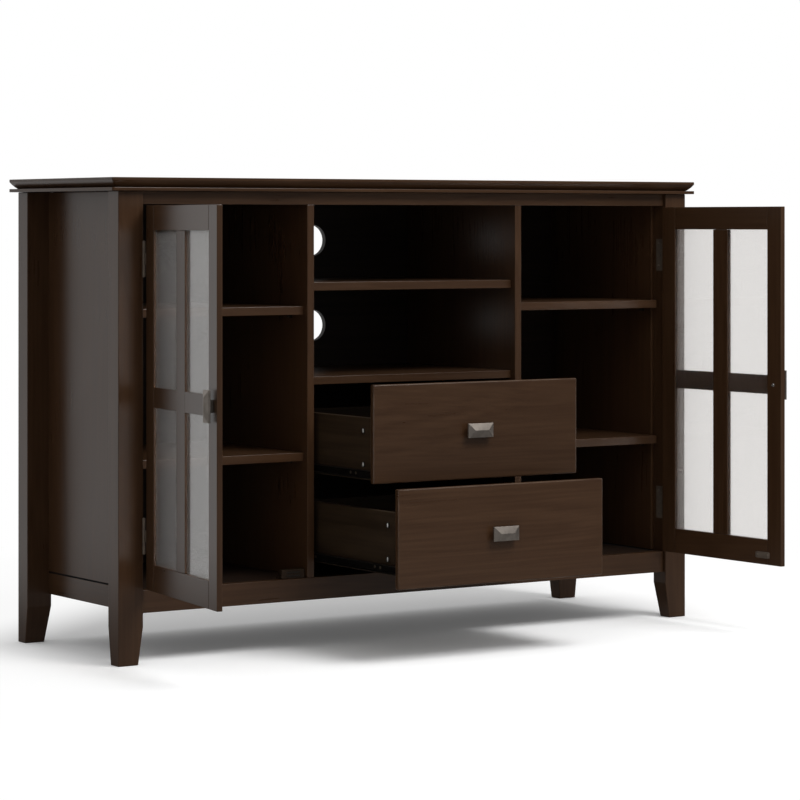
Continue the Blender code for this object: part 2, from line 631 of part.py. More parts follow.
def make_door(hand, side, open_deg, root, finishes):
    """One glazed door about its hinge axis. Distances run from the axis to the free edge."""
    name = f"{hand}_door"
    axis = empty(f"{name}_axis", (side * HINGE_AXIS_X, HINGE_AXIS_Y, 0), root)
    axis.rotation_euler = (0, 0, side * math.radians(open_deg))
    lacquer = finishes["lacquer"]
    groove = (GLASS_FACE - JOINT_GAP, GLASS_BACK + JOINT_GAP)

    def local(near, far):
        return mirrored(-side, near, far)

    def across(outline):
        return [(-side * distance, through) for distance, through in outline]

    hinge_inner = DOOR_HINGE_EDGE + STILE_WIDTH
    free_inner = DOOR_FREE_EDGE - STILE_WIDTH
    centre = (DOOR_HINGE_EDGE + DOOR_FREE_EDGE) / 2
    mullion = (centre - MULLION_WIDTH / 2, centre + MULLION_WIDTH / 2)
    tenon = GROOVE_DEPTH - JOINT_GAP

    stiles = (("hinge", (DOOR_HINGE_EDGE, hinge_inner), ("high",)),
              ("free", (free_inner, DOOR_FREE_EDGE), ("low",)))
    made = {}
    for label, edges, sides in stiles:
        outline = across(grooved(edges, groove, sides))
        made[label] = add_piece(
            f"{name}_{label}_stile", prism(outline, "Z", DOOR_BOTTOM, DOOR_TOP), lacquer,
            axis, (-side * edges[0], DOOR_FACE, DOOR_BOTTOM), DOOR_EASE)
    near = -DOOR_HINGE_EDGE - DOOR_LEAF_LET_IN
    far = near + LEAF_THICKNESS
    for bottom in hinge_bottoms():
        plate = hinge_plate(near, far, DOOR_BACK - DOOR_LEAF_INSET, side, bottom)
        combine(made["hinge"], plate, "UNION")
        knuckles = hinge_knuckles(near, far, side, bottom, range(1, KNUCKLE_COUNT, 2))
        combine(made["hinge"], knuckles, "UNION")

    tongue_x = local(hinge_inner - tenon, free_inner + tenon)
    rails = (("top", (SIGHT_TOP, DOOR_TOP), ("low",),
              (SIGHT_TOP + GROOVE_DEPTH, DOOR_TOP - TENON_SHOULDER)),
             ("bottom", (DOOR_BOTTOM, SIGHT_BOTTOM), ("high",),
              (DOOR_BOTTOM + TENON_SHOULDER, SIGHT_BOTTOM - GROOVE_DEPTH)))
    for label, edges, sides, tongue_z in rails:
        outline = [(through, height) for height, through in grooved(edges, groove, sides)]
        x = local(hinge_inner + JOINT_GAP, free_inner - JOINT_GAP)
        rail = add_piece(f"{name}_{label}_rail", prism(outline, "X", *x), lacquer, axis,
                         (x[0], DOOR_FACE, edges[0]), DOOR_EASE)
        combine(rail, box_mesh(tongue_x, (GLASS_FACE, GLASS_BACK), tongue_z), "UNION")

    bar_z = (SIGHT_BOTTOM + JOINT_GAP, SIGHT_TOP - JOINT_GAP)
    outline = across(grooved(mullion, groove, ("low", "high")))
    bars = add_piece(f"{name}_glazing_bars", prism(outline, "Z", *bar_z), lacquer, axis,
                     (-side * centre, DOOR_FACE, bar_z[0]), DOOR_EASE)
    web = local(mullion[0] + GROOVE_DEPTH, mullion[1] - GROOVE_DEPTH)
    web_z = (SIGHT_BOTTOM - tenon, SIGHT_TOP + tenon)
    combine(bars, box_mesh(web, (GLASS_FACE, GLASS_BACK), web_z), "UNION")

    bar_half = CROSS_BAR_HEIGHT / 2
    cross_z = (CROSS_BAR_CENTRE_Z - bar_half, CROSS_BAR_CENTRE_Z + bar_half)
    arms = ((hinge_inner + JOINT_GAP, mullion[0] + CROSS_BAR_HOUSING),
            (mullion[1] - CROSS_BAR_HOUSING, free_inner - JOINT_GAP))
    arm_y = (DOOR_FACE + CROSS_BAR_SETBACK, GLASS_FACE - JOINT_GAP - CROSS_BAR_SETBACK)
    combine(bars, join([box_mesh(local(*arm), arm_y, cross_z) for arm in arms]), "UNION")
    panes = (("outer", hinge_inner, mullion[0]), ("inner", mullion[1], free_inner))
    glass_z = (SIGHT_BOTTOM - GLASS_BITE, SIGHT_TOP + GLASS_BITE)
    for label, low, high in panes:
        board(f"{name}_{label}_pane", local(low - GLASS_BITE, high + GLASS_BITE),
              (GLASS_FACE, GLASS_BACK), glass_z, finishes["glass"], axis, 0)

    pull_x = -side * (DOOR_FREE_EDGE - DOOR_PULL_EDGE_DISTANCE)
    add_piece(f"{name}_pull", pull_mesh(DOOR_FACE, pull_x, CROSS_BAR_CENTRE_Z, True),
              finishes["pewter"], axis, (pull_x, DOOR_FACE, CROSS_BAR_CENTRE_Z), PULL_EASE)


def channel(back_x, mouth_x, z_low, z_high):
    """The section of a metal channel, as (x, z): a web at back_x and two flanges."""
    inward = math.copysign(RUNNER_METAL, mouth_x - back_x)
    return [(back_x, z_low), (mouth_x, z_low), (mouth_x, z_low + RUNNER_METAL),
            (back_x + inward, z_low + RUNNER_METAL), (back_x + inward, z_high - RUNNER_METAL),
            (mouth_x, z_high - RUNNER_METAL), (mouth_x, z_high), (back_x, z_high)]


def runner_heights(box_bottom):
    """The bottom and top of the fixed channel beside a drawer box."""
    return (box_bottom + RUNNER_LIFT, box_bottom + RUNNER_LIFT + RUNNER_HEIGHT)


def make_fixed_runners(root, finish):
    """The four channels on the dividers."""
    web = DIVIDER_INNER_X - JOINT_GAP
    mouth = BOX_OUTER_X - RUNNER_SEAT + RUNNER_METAL + RUNNER_MOUTH
    start = BOX_FRONT_Y + RUNNER_FRONT_SETBACK
    for level, box_bottom in (("lower", LOWER_FRONT_BOTTOM + LOWER_BOX_LIFT),
                              ("upper", UPPER_FRONT_BOTTOM + UPPER_BOX_LIFT)):
        low, high = runner_heights(box_bottom)
        for hand, side in (("left", -1), ("right", 1)):
            outline = channel(side * web, side * mouth, low, high)
            add_piece(f"{level}_{hand}_runner",
                      prism(outline, "Y", start, BOX_REAR_Y + RUNNER_FRONT_SETBACK), finish,
                      root, (side * web, start, low))


def make_drawer(level, front_bottom, box_lift, pulled_out, root, finishes):
    """One drawer, drawn out along its runners by its parent empty."""
    name = f"{level}_drawer"
    slide = empty(f"{name}_slide", (0, -pulled_out, 0), root)
    lacquer = finishes["lacquer"]
    inside = finishes["inside"]
    box_bottom = front_bottom + box_lift
    box_top = box_bottom + DRAWER_SIDE_HEIGHT
    bottom_z = (box_bottom + DRAWER_BOTTOM_LIFT,
                box_bottom + DRAWER_BOTTOM_LIFT + DRAWER_BOTTOM_THICKNESS)
    groove_z = (bottom_z[0] - JOINT_GAP, bottom_z[1] + JOINT_GAP)
    box_y = (BOX_FRONT_Y, BOX_REAR_Y)

    front_half = DIVIDER_INNER_X - DRAWER_SIDE_GAP
    front_y = (0, DRAWER_FRONT_THICKNESS)
    front = board(f"{name}_front", (-front_half, front_half), front_y,
                  (front_bottom, front_bottom + DRAWER_FRONT_HEIGHT), lacquer, slide,
                  DRAWER_FRONT_EASE)
    groove_half = BOX_INNER_X + DRAWER_GROOVE_DEPTH
    groove_floor = front_y[1] - FRONT_GROOVE_DEPTH
    combine(front, box_mesh((-groove_half, groove_half), (groove_floor, front_y[1] + OVERRUN),
                            groove_z), "DIFFERENCE")

    low, high = runner_heights(box_bottom)
    clear = RUNNER_METAL + RUNNER_PLAY
    web = BOX_OUTER_X - RUNNER_SEAT
    mouth = DIVIDER_INNER_X - JOINT_GAP - RUNNER_METAL - RUNNER_MOUTH
    for hand, side in (("left", -1), ("right", 1)):
        deep = BOX_INNER_X + DRAWER_GROOVE_DEPTH
        outline = [(side * x, z) for x, z in (
            (BOX_OUTER_X, box_bottom), (BOX_OUTER_X, box_top), (BOX_INNER_X, box_top),
            (BOX_INNER_X, groove_z[1]), (deep, groove_z[1]), (deep, groove_z[0]),
            (BOX_INNER_X, groove_z[0]), (BOX_INNER_X, box_bottom))]
        flank = add_piece(f"{name}_{hand}_side", prism(outline, "Y", *box_y), inside, slide,
                          (side * BOX_OUTER_X, BOX_FRONT_Y, box_bottom), DRAWER_BOARD_EASE)
        rider = channel(side * web, side * mouth, low + clear, high - clear)
        combine(flank, prism(rider, "Y", *box_y), "UNION")
    back_half = BOX_INNER_X - JOINT_GAP
    board(f"{name}_back", (-back_half, back_half),
          (BOX_REAR_Y - DRAWER_SIDE_THICKNESS, BOX_REAR_Y),
          (bottom_z[1] + JOINT_GAP, box_top), inside, slide, DRAWER_BOARD_EASE)
    bottom_half = groove_half - DRAWER_BOTTOM_PLAY
    board(f"{name}_bottom", (-bottom_half, bottom_half),
          (groove_floor + DRAWER_BOTTOM_PLAY, BOX_REAR_Y), bottom_z, inside, slide, 0)

    pull_z = front_bottom + DRAWER_FRONT_HEIGHT / 2
    add_piece(f"{name}_pull", pull_mesh(0, 0, pull_z, False), finishes["pewter"],
              slide, (0, 0, pull_z), PULL_EASE)


def build():
    """Make the whole stand."""
    clear_scene()
    finishes = make_materials()
    root = empty("stand", (0, -FOOTPRINT_MIDDLE_Y, 0))
    lacquer = finishes["lacquer"]
    make_top(root, lacquer)
    make_posts(root, lacquer)
    make_rails(root, lacquer)
    make_carcass_boards(root, lacquer, finishes["inside"])
    make_shelves(root, lacquer)
    make_catches(root, finishes["catch"])
    make_post_hinges(root, finishes["hinge"])
    make_fixed_runners(root, finishes["runner"])
    make_door("left", -1, LEFT_DOOR_OPEN_DEG, root, finishes)
    make_door("right", 1, RIGHT_DOOR_OPEN_DEG, root, finishes)
    make_drawer("upper", UPPER_FRONT_BOTTOM, UPPER_BOX_LIFT, UPPER_DRAWER_PULLED_OUT,
                root, finishes)
    make_drawer("lower", LOWER_FRONT_BOTTOM, LOWER_BOX_LIFT, LOWER_DRAWER_PULLED_OUT,
                root, finishes)


build()
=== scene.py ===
"""Dressed television stand: lacquered wood, glass and metal finishes, small fittings and a studio.

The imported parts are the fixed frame. Metres, +Z up, front towards -Y. Every finish reads
Object coordinates, so it stays on its board when a door turns or a drawer runs.
"""
import json
import logging
import math
from dataclasses import dataclass, field
from enum import Enum
from typing import Iterator, Sequence

import bpy
import numpy as np
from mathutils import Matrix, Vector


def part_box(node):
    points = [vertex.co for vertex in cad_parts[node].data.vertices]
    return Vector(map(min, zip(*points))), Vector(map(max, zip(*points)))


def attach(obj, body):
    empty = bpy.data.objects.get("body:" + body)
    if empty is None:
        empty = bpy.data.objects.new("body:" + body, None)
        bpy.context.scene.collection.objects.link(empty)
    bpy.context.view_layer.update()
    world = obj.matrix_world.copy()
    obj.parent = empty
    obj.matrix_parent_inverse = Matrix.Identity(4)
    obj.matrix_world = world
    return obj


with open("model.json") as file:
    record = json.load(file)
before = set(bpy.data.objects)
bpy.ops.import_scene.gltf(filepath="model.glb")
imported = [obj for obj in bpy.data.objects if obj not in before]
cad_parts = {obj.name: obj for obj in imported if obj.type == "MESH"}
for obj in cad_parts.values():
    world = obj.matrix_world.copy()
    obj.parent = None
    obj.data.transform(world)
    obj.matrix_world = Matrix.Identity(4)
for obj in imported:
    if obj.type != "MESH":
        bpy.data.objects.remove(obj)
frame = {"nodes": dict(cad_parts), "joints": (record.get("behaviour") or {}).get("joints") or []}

LOG = logging.getLogger("tall_tv_stand")
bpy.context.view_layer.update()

X, Y, Z = range(3)
COLOUR_MIX_INPUTS = (0, 6, 7)
COLOUR_MIX_OUTPUT = 2
MIDDLE_GREY = 0.5
GOLDEN_SHARE = 0.6180339
SHARP_DEGREES = 40.0
UPRIGHT_LIMIT = 0.9

Colour = tuple[float, float, float]
Point = tuple[float, float, float]
Stretch = tuple[float, float]
Profile = tuple[tuple[float, float], ...]
Feed = bpy.types.NodeSocket | float | Sequence[float] | None
Sockets = bpy.types.bpy_prop_collection


class Side(Enum):
    """The two sides of the stand, as the sign of X."""

    LEFT = -1
    RIGHT = 1

    @property
    def word(self) -> str:
        """The side as it stands in node names."""
        return self.name.lower()


class Grain(Enum):
    """The way the grain of a board runs, as an axis of the board's own frame."""

    ACROSS = 0
    DEEP = 1
    UPRIGHT = 2


class Socket(Enum):
    """The kinds of socket that the shader groups have."""

    NUMBER = "NodeSocketFloat"
    COLOUR = "NodeSocketColor"
    VECTOR = "NodeSocketVector"


@dataclass(frozen=True)
class Placement:
    """An upright frame that stands at a point and is turned about Z."""

    origin: Point = (0.0, 0.0, 0.0)
    yaw: float = 0.0

    @staticmethod
    def turn(angle: float) -> np.ndarray:
        """The matrix that turns row vectors about Z by an angle."""
        c, s = math.cos(angle), math.sin(angle)
        return np.array([[c, s, 0.0], [-s, c, 0.0], [0.0, 0.0, 1.0]])

    def out(self, points: np.ndarray) -> np.ndarray:
        """Points of this frame, in the stand's frame."""
        return points @ self.turn(self.yaw) + np.array(self.origin)

    def into(self, points: np.ndarray) -> np.ndarray:
        """Points of the stand's frame, in this frame."""
        return (points - np.array(self.origin)) @ self.turn(-self.yaw)

    def extent(self, node: str) -> tuple[np.ndarray, np.ndarray]:
        """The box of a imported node, measured in this frame.

        Args:
            node: The node's name.

        Returns:
            Its lowest and its highest corner.
        """
        mesh = frame["nodes"][node].data
        flat = np.empty(len(mesh.vertices) * 3)
        mesh.vertices.foreach_get("co", flat)
        inside = self.into(flat.reshape(-1, 3))
        return inside.min(axis=0), inside.max(axis=0)


class Wiring:
    """Adds, sets and joins the nodes of one node tree."""

    def __init__(self, tree: bpy.types.NodeTree) -> None:
        """Keep the tree that the nodes go in."""
        self.tree = tree

    def add(self, kind: str, **settings: object) -> bpy.types.Node:
        """A new node with its settings.

        Args:
            kind: The name of the node's class.
            **settings: Values for the node's own attributes.

        Returns:
            The new node.
        """
        node = self.tree.nodes.new(kind)
        for name, value in settings.items():
            setattr(node, name, value)
        return node

    def feed(self, target: bpy.types.NodeSocket, value: Feed) -> None:
        """Join a socket to an input, or write a plain value in it.

        Args:
            target: The input.
            value: A socket, a plain value, or none to leave the input as it is.
        """
        if isinstance(value, bpy.types.NodeSocket):
            self.tree.links.new(value, target)
        elif value is not None:
            target.default_value = value

    def number(self, kind: str, *values: Feed, clamp: bool = False) -> bpy.types.NodeSocket:
        """The result of one Math node.

        Args:
            kind: What it works out, such as MULTIPLY.
            *values: Its inputs, in order.
            clamp: Whether the result is kept from 0 to 1.

        Returns:
            The node's number.
        """
        node = self.add("ShaderNodeMath", operation=kind, use_clamp=clamp)
        for target, value in zip(node.inputs, values):
            self.feed(target, value)
        return node.outputs[0]

    def vector(self, kind: str, *values: Feed, output: str = "Vector") -> bpy.types.NodeSocket:
        """The result of one Vector Math node.

        Args:
            kind: What it works out, such as MULTIPLY.
            *values: Its inputs, in order.
            output: Vector, or Value for a length or a dot product.

        Returns:
            The node's vector or number.
        """
        node = self.add("ShaderNodeVectorMath", operation=kind)
        for target, value in zip(node.inputs, values):
            self.feed(target, value)
        return node.outputs[output]

    def parts(self, where: bpy.types.NodeSocket) -> Sockets:
        """The X, Y and Z of a vector.

        Args:
            where: The vector.

        Returns:
            Three outputs, in that order.
        """
        node = self.add("ShaderNodeSeparateXYZ")
        self.feed(node.inputs[0], where)
        return node.outputs

    def blend(self, share: Feed, first: Feed, second: Feed) -> bpy.types.NodeSocket:
        """Two colours mixed.

        Args:
            share: The share of the second, from 0 to 1.
            first: The colour at 0.
            second: The colour at 1.

        Returns:
            The mixed colour.
        """
        node = self.add("ShaderNodeMix", data_type="RGBA")
        for index, value in zip(COLOUR_MIX_INPUTS, (share, first, second)):
            self.feed(node.inputs[index], value)
        return node.outputs[COLOUR_MIX_OUTPUT]

    def ramp(self, value: Feed, low: float, high: float, start: Feed = 0.0,
             end: Feed = 1.0) -> bpy.types.NodeSocket:
        """A value eased from one stretch of numbers to another.

        Args:
            value: The value.
            low: Where the easing starts.
            high: Where it ends.
            start: The result at low and below it.
            end: The result at high and above it.

        Returns:
            The eased number.
        """
        node = self.add("ShaderNodeMapRange", interpolation_type="SMOOTHSTEP")
        for index, item in enumerate((value, low, high, start, end)):
            self.feed(node.inputs[index], item)
        return node.outputs[0]

    def noise(self, where: bpy.types.NodeSocket, scale: Feed, detail: Feed = None,
              rough: Feed = None) -> bpy.types.NodeSocket:
        """The grey value of a noise texture.

        Args:
            where: The coordinates.
            scale: How fine it is.
            detail: How many finer layers it has, or none for the node's own value.
            rough: How strong they are, or none for the node's own value.

        Returns:
            A number from 0 to 1.
        """
        node = self.add("ShaderNodeTexNoise", noise_dimensions="3D")
        for label, value in (("Vector", where), ("Scale", scale), ("Detail", detail),
                             ("Roughness", rough)):
            self.feed(node.inputs[label], value)
        return node.outputs[0]


class EffectGroup:
    """A shader node group that several finishes share, built once."""

    name: str = ""
    inputs: Sequence[tuple[str, Socket, float | Sequence[float]]] = ()
    outputs: Sequence[tuple[str, Socket]] = ()

    def tree(self) -> bpy.types.NodeTree:
        """The group's node tree, made the first time it is asked for.

        Returns:
            The node tree with its named inputs and outputs.
        """
        known = bpy.data.node_groups.get(self.name)
        if known:
            return known
        made = bpy.data.node_groups.new(self.name, "ShaderNodeTree")
        for label, kind, value in self.inputs:
            socket = made.interface.new_socket(
                name=label, in_out="INPUT", socket_type=kind.value)
            socket.default_value = value
        for label, kind in self.outputs:
            made.interface.new_socket(name=label, in_out="OUTPUT", socket_type=kind.value)
        wiring = Wiring(made)
        source = wiring.add("NodeGroupInput").outputs
        target = wiring.add("NodeGroupOutput").inputs
        self.wire(wiring, source, target)
        return made

    def wire(self, w: Wiring, source: Sockets, target: Sockets) -> None:
        """Join the nodes between the group's inputs and outputs."""
        raise NotImplementedError

    def place(self, wiring: Wiring, **values: Feed) -> bpy.types.Node:
        """Put the group in a material with values of its own.

        Args:
            wiring: The material's wiring.
            **values: A value or a socket for each input, with _ for a space.

        Returns:
            The group node.
        """
        node = wiring.add("ShaderNodeGroup", node_tree=self.tree())
        for label, value in values.items():
            wiring.feed(node.inputs[label.replace("_", " ")], value)
        return node


class WoodFigure(EffectGroup):
    """Stained wood: streaks along X, slow growth bands, and short dark pores."""

    name = "wood_figure"
    inputs = (("Vector", Socket.VECTOR, (0.0, 0.0, 0.0)),
              ("Seed", Socket.NUMBER, 0.0),
              ("Dark", Socket.COLOUR, (0.02, 0.01, 0.006, 1.0)),
              ("Light", Socket.COLOUR, (0.05, 0.03, 0.02, 1.0)),
              ("Figure", Socket.NUMBER, 0.5),
              ("Pores", Socket.NUMBER, 0.4))
    outputs = (("Colour", Socket.COLOUR), ("Sheen", Socket.NUMBER), ("Height", Socket.NUMBER))

    seed_step: float = 7.31
    slow_stretch: Point = (1.1, 7.0, 7.0)
    streak_stretch: Point = (4.0, 170.0, 170.0)
    pore_stretch: Point = (46.0, 1150.0, 1150.0)
    coarse_detail: float = 2.0
    streak_detail: float = 4.0
    streak_rough: float = 0.55
    noise_rough: float = 0.5
    bend: float = 9.0
    rings: float = 9.0
    ring_fold: float = 0.5
    band_edges: Stretch = (0.05, 0.48)
    streak_edges: Stretch = (0.3, 0.7)
    pore_edges: Stretch = (0.60, 0.72)
    streak_share: float = 0.72
    band_share: float = 0.28
    sheen_share: float = 0.5
    streak_relief: float = 0.35

    def wire(self, w: Wiring, source: Sockets, target: Sockets) -> None:
        """Streak = stretched and bent noise; bands = folded slow noise; pores = cut fine noise.

        Args:
            w: The group's wiring.
            source: Its inputs.
            target: Its outputs.
        """
        seed = w.number("MULTIPLY", source["Seed"], self.seed_step)
        start = w.vector("ADD", source["Vector"], seed)
        slow = w.noise(w.vector("MULTIPLY", start, self.slow_stretch), 1.0,
                       self.coarse_detail, self.noise_rough)
        bent = w.vector("ADD", w.vector("MULTIPLY", start, self.streak_stretch),
                        w.number("MULTIPLY", slow, self.bend))
        streak = w.noise(bent, 1.0, self.streak_detail, self.streak_rough)
        folded = w.number("PINGPONG", w.number("MULTIPLY", slow, self.rings), self.ring_fold)
        band = w.ramp(folded, *self.band_edges)
        fine = w.noise(w.vector("MULTIPLY", start, self.pore_stretch), 1.0,
                       self.coarse_detail, self.noise_rough)
        pore = w.ramp(fine, *self.pore_edges)
        tone = w.number(
            "ADD", w.number("MULTIPLY", w.ramp(streak, *self.streak_edges), self.streak_share),
            w.number("MULTIPLY", band, self.band_share))
        swing = w.number("MULTIPLY", w.number("SUBTRACT", tone, MIDDLE_GREY),
                         source["Figure"])
        share = w.number("ADD", swing, MIDDLE_GREY, clamp=True)
        stained = w.blend(share, source["Dark"], source["Light"])
        depth = w.number("MULTIPLY", pore, source["Pores"])
        w.feed(target["Colour"], w.blend(depth, stained, source["Dark"]))
        w.feed(target["Sheen"], w.number(
            "ADD", w.number("MULTIPLY", tone, self.sheen_share), depth))
        w.feed(target["Height"], w.number(
            "SUBTRACT", w.number("MULTIPLY", streak, self.streak_relief), depth))


class ArrisRub(EffectGroup):
    """A mask along the edges of a board, broken up, where its finish has thinned; on the drawer
    fronts it also places a painted highlight along the arris.
    """

    name = "arris_rub"
    inputs = (("Vector", Socket.VECTOR, (0.0, 0.0, 0.0)),
              ("Half Size", Socket.VECTOR, (0.1, 0.1, 0.1)),
              ("Width", Socket.NUMBER, 0.002),
              ("Amount", Socket.NUMBER, 0.5))
    outputs = (("Mask", Socket.NUMBER),)

    patch_scale: float = 26.0
    patch_detail: float = 4.0
    patch_rough: float = 0.5
    patch_edges: Stretch = (0.35, 0.65)

    def wire(self, w: Wiring, source: Sockets, target: Sockets) -> None:
        """Distance to an arris = the second smallest distance to a face of the board.

        Args:
            w: The group's wiring.
            source: Its inputs.
            target: Its outputs.
        """
        a, b, c = w.parts(w.vector(
            "SUBTRACT", source["Half Size"], w.vector("ABSOLUTE", source["Vector"])))
        near = w.number("MINIMUM", w.number("MAXIMUM", a, b), c)
        second = w.number("MAXIMUM", w.number("MINIMUM", a, b), near)
        away = w.number("DIVIDE", second, source["Width"], clamp=True)
        close = w.number("SUBTRACT", 1.0, away)
        patch = w.ramp(w.noise(source["Vector"], self.patch_scale, self.patch_detail,
                               self.patch_rough), *self.patch_edges)
        w.feed(target["Mask"], w.number(
            "MULTIPLY", w.number("MULTIPLY", close, patch), source["Amount"], clamp=True))


class SatinFilm(EffectGroup):
    """The cloudy sheen and faint ripple of a sprayed or cast surface."""

    name = "satin_film"
    inputs = (("Vector", Socket.VECTOR, (0.0, 0.0, 0.0)),
              ("Roughness", Socket.NUMBER, 0.4),
              ("Cloud", Socket.NUMBER, 0.06),
              ("Ripple Scale", Socket.NUMBER, 260.0))
    outputs = (("Roughness", Socket.NUMBER), ("Height", Socket.NUMBER))

    cloud_scale: float = 5.0
    cloud_detail: float = 4.0
    cloud_rough: float = 0.5

    def wire(self, w: Wiring, source: Sockets, target: Sockets) -> None:
        """Roughness = base + cloud times slow noise; height = fine round noise.

        Args:
            w: The group's wiring.
            source: Its inputs.
            target: Its outputs.
        """
        cloud = w.number("SUBTRACT", w.noise(
            source["Vector"], self.cloud_scale, self.cloud_detail, self.cloud_rough),
            MIDDLE_GREY)
        w.feed(target["Roughness"], w.number(
            "ADD", source["Roughness"], w.number("MULTIPLY", cloud, source["Cloud"]),
            clamp=True))
        w.feed(target["Height"], w.noise(source["Vector"], source["Ripple Scale"]))


class BrushedLines(EffectGroup):
    """Fine parallel scratches along X on metal, with a slow tarnish."""

    name = "brushed_lines"
    inputs = (("Vector", Socket.VECTOR, (0.0, 0.0, 0.0)),
              ("Bright", Socket.COLOUR, (0.5, 0.5, 0.5, 1.0)),
              ("Tarnish", Socket.COLOUR, (0.3, 0.3, 0.3, 1.0)),
              ("Roughness", Socket.NUMBER, 0.35))
    outputs = (("Colour", Socket.COLOUR), ("Roughness", Socket.NUMBER),
               ("Height", Socket.NUMBER))

    line_stretch: Point = (60.0, 3600.0, 3600.0)
    line_detail: float = 3.0
    age_scale: float = 55.0
    age_detail: float = 4.0
    noise_rough: float = 0.5
    age_edges: Stretch = (0.35, 0.70)
    line_spread: float = 0.22

    def wire(self, w: Wiring, source: Sockets, target: Sockets) -> None:
        """Lines = noise stretched 60 to 1; tarnish = slow noise between two colours.

        Args:
            w: The group's wiring.
            source: Its inputs.
            target: Its outputs.
        """
        lines = w.noise(w.vector("MULTIPLY", source["Vector"], self.line_stretch), 1.0,
                        self.line_detail, self.noise_rough)
        age = w.ramp(w.noise(source["Vector"], self.age_scale, self.age_detail,
                             self.noise_rough), *self.age_edges)
        w.feed(target["Colour"], w.blend(age, source["Bright"], source["Tarnish"]))
        spread = w.number("MULTIPLY", w.number("SUBTRACT", lines, MIDDLE_GREY),
                          self.line_spread)
        w.feed(target["Roughness"], w.number("ADD", source["Roughness"], spread, clamp=True))
        w.feed(target["Height"], lines)


class StudioRoom(EffectGroup):
    """How bright the room looks along a direction: a white back, a dim front, a pale ceiling."""

    name = "studio_room"
    inputs = (("Vector", Socket.VECTOR, (0.0, 0.0, 0.0)),
              ("Front", Socket.NUMBER, 0.2),
              ("Back", Socket.NUMBER, 0.8),
              ("Ceiling", Socket.NUMBER, 0.5))
    outputs = (("Level", Socket.NUMBER),)

    rear_left: Point = (-0.33, 0.944, 0.0)
    rear_edges: Stretch = (0.64, 0.96)
    ceiling_edges: Stretch = (0.12, 0.80)

    def wire(self, w: Wiring, source: Sockets, target: Sockets) -> None:
        """Level = the larger of front to back, eased along the rear left, and the ceiling.

        Args:
            w: The group's wiring.
            source: Its inputs.
            target: Its outputs.
        """
        way = w.vector("NORMALIZE", source["Vector"])
        rear = w.vector("DOT_PRODUCT", way, self.rear_left, output="Value")
        level = w.ramp(rear, *self.rear_edges, source["Front"], source["Back"])
        above = w.ramp(w.parts(way)[Z], *self.ceiling_edges, 0.0, source["Ceiling"])
        w.feed(target["Level"], w.number("MAXIMUM", level, above))


class Finish:
    """What every finish shares: a new material and its coordinates."""

    def start(self, name: str) -> tuple[bpy.types.Material, Wiring, bpy.types.Node]:
        """An empty material with a Principled shader on its output.

        Args:
            name: The material's name.

        Returns:
            The material, its wiring and the shader.
        """
        made = bpy.data.materials.new(name)
        made.use_nodes = True
        made.node_tree.nodes.clear()
        wiring = Wiring(made.node_tree)
        shader = wiring.add("ShaderNodeBsdfPrincipled")
        target = wiring.add("ShaderNodeOutputMaterial")
        wiring.feed(target.inputs["Surface"], shader.outputs[0])
        return made, wiring, shader

    def centred(self, wiring: Wiring, centre: Point, yaw: float) -> bpy.types.NodeSocket:
        """Object coordinates measured from a centre, along axes turned about Z.

        Args:
            wiring: The material's wiring.
            centre: The middle of the piece.
            yaw: The turn of its own axes.

        Returns:
            The coordinates.
        """
        source = wiring.add("ShaderNodeTexCoord").outputs["Object"]
        mapping = wiring.add("ShaderNodeMapping", vector_type="TEXTURE")
        mapping.inputs["Location"].default_value = centre
        mapping.inputs["Rotation"].default_value = (0.0, 0.0, yaw)
        wiring.feed(mapping.inputs["Vector"], source)
        return mapping.outputs[0]

    def along(self, wiring: Wiring, where: bpy.types.NodeSocket,
              grain: Grain) -> bpy.types.NodeSocket:
        """The same coordinates with the grain's axis first.

        Args:
            wiring: The material's wiring.
            where: The coordinates.
            grain: The way the grain runs.

        Returns:
            The coordinates in their new order.
        """
        parts = wiring.parts(where)
        joined = wiring.add("ShaderNodeCombineXYZ")
        order = [grain.value] + [axis for axis in (X, Y, Z) if axis != grain.value]
        for target, axis in zip(joined.inputs, order):
            wiring.feed(target, parts[axis])
        return joined.outputs[0]

    def bump(self, wiring: Wiring, height: bpy.types.NodeSocket, depth: float,
             strength: float) -> bpy.types.NodeSocket:
        """A normal raised by a height.

        Args:
            wiring: The material's wiring.
            height: The height, from 0 to 1.
            depth: What 1 is at full strength, in metres.
            strength: The strength.

        Returns:
            The normal.
        """
        node = wiring.add("ShaderNodeBump")
        node.inputs["Strength"].default_value = strength
        node.inputs["Distance"].default_value = depth
        wiring.feed(node.inputs["Height"], height)
        return node.outputs[0]


@dataclass(frozen=True)
class WorkedMetal(Finish):
    """Cast or pressed metal, brushed along one axis and slightly tarnished; the painted shade of
    the side seams uses it too.
    """

    slot: str
    bright: Colour
    tarnish: Colour
    roughness: float = 0.34
    metallic: float = 1.0
    relief: float = 0.00002
    relief_strength: float = 0.4

    def lines(self, wiring: Wiring, where: bpy.types.NodeSocket) -> Sockets:
        """The colour, roughness and height of the brushed metal.

        Args:
            wiring: The material's wiring.
            where: The coordinates, brushed along the first.

        Returns:
            The three outputs of the group.
        """
        return BrushedLines().place(
            wiring, Vector=where, Bright=(*self.bright, 1.0), Tarnish=(*self.tarnish, 1.0),
            Roughness=self.roughness).outputs

    def material(self, name: str, centre: Point, yaw: float,
                 grain: Grain) -> bpy.types.Material:
        """The metal of one piece.

        Args:
            name: The piece's name.
            centre: The middle of the piece.
            yaw: The turn of its own axes about Z.
            grain: The way it is brushed.

        Returns:
            The piece's material.
        """
        made, w, shader = self.start(f"{self.slot}_{name}")
        lines = self.lines(w, self.along(w, self.centred(w, centre, yaw), grain))
        w.feed(shader.inputs["Base Color"], lines["Colour"])
        w.feed(shader.inputs["Roughness"], lines["Roughness"])
        shader.inputs["Metallic"].default_value = self.metallic
        w.feed(shader.inputs["Normal"], self.bump(
            w, lines["Height"], self.relief, self.relief_strength))
        return made


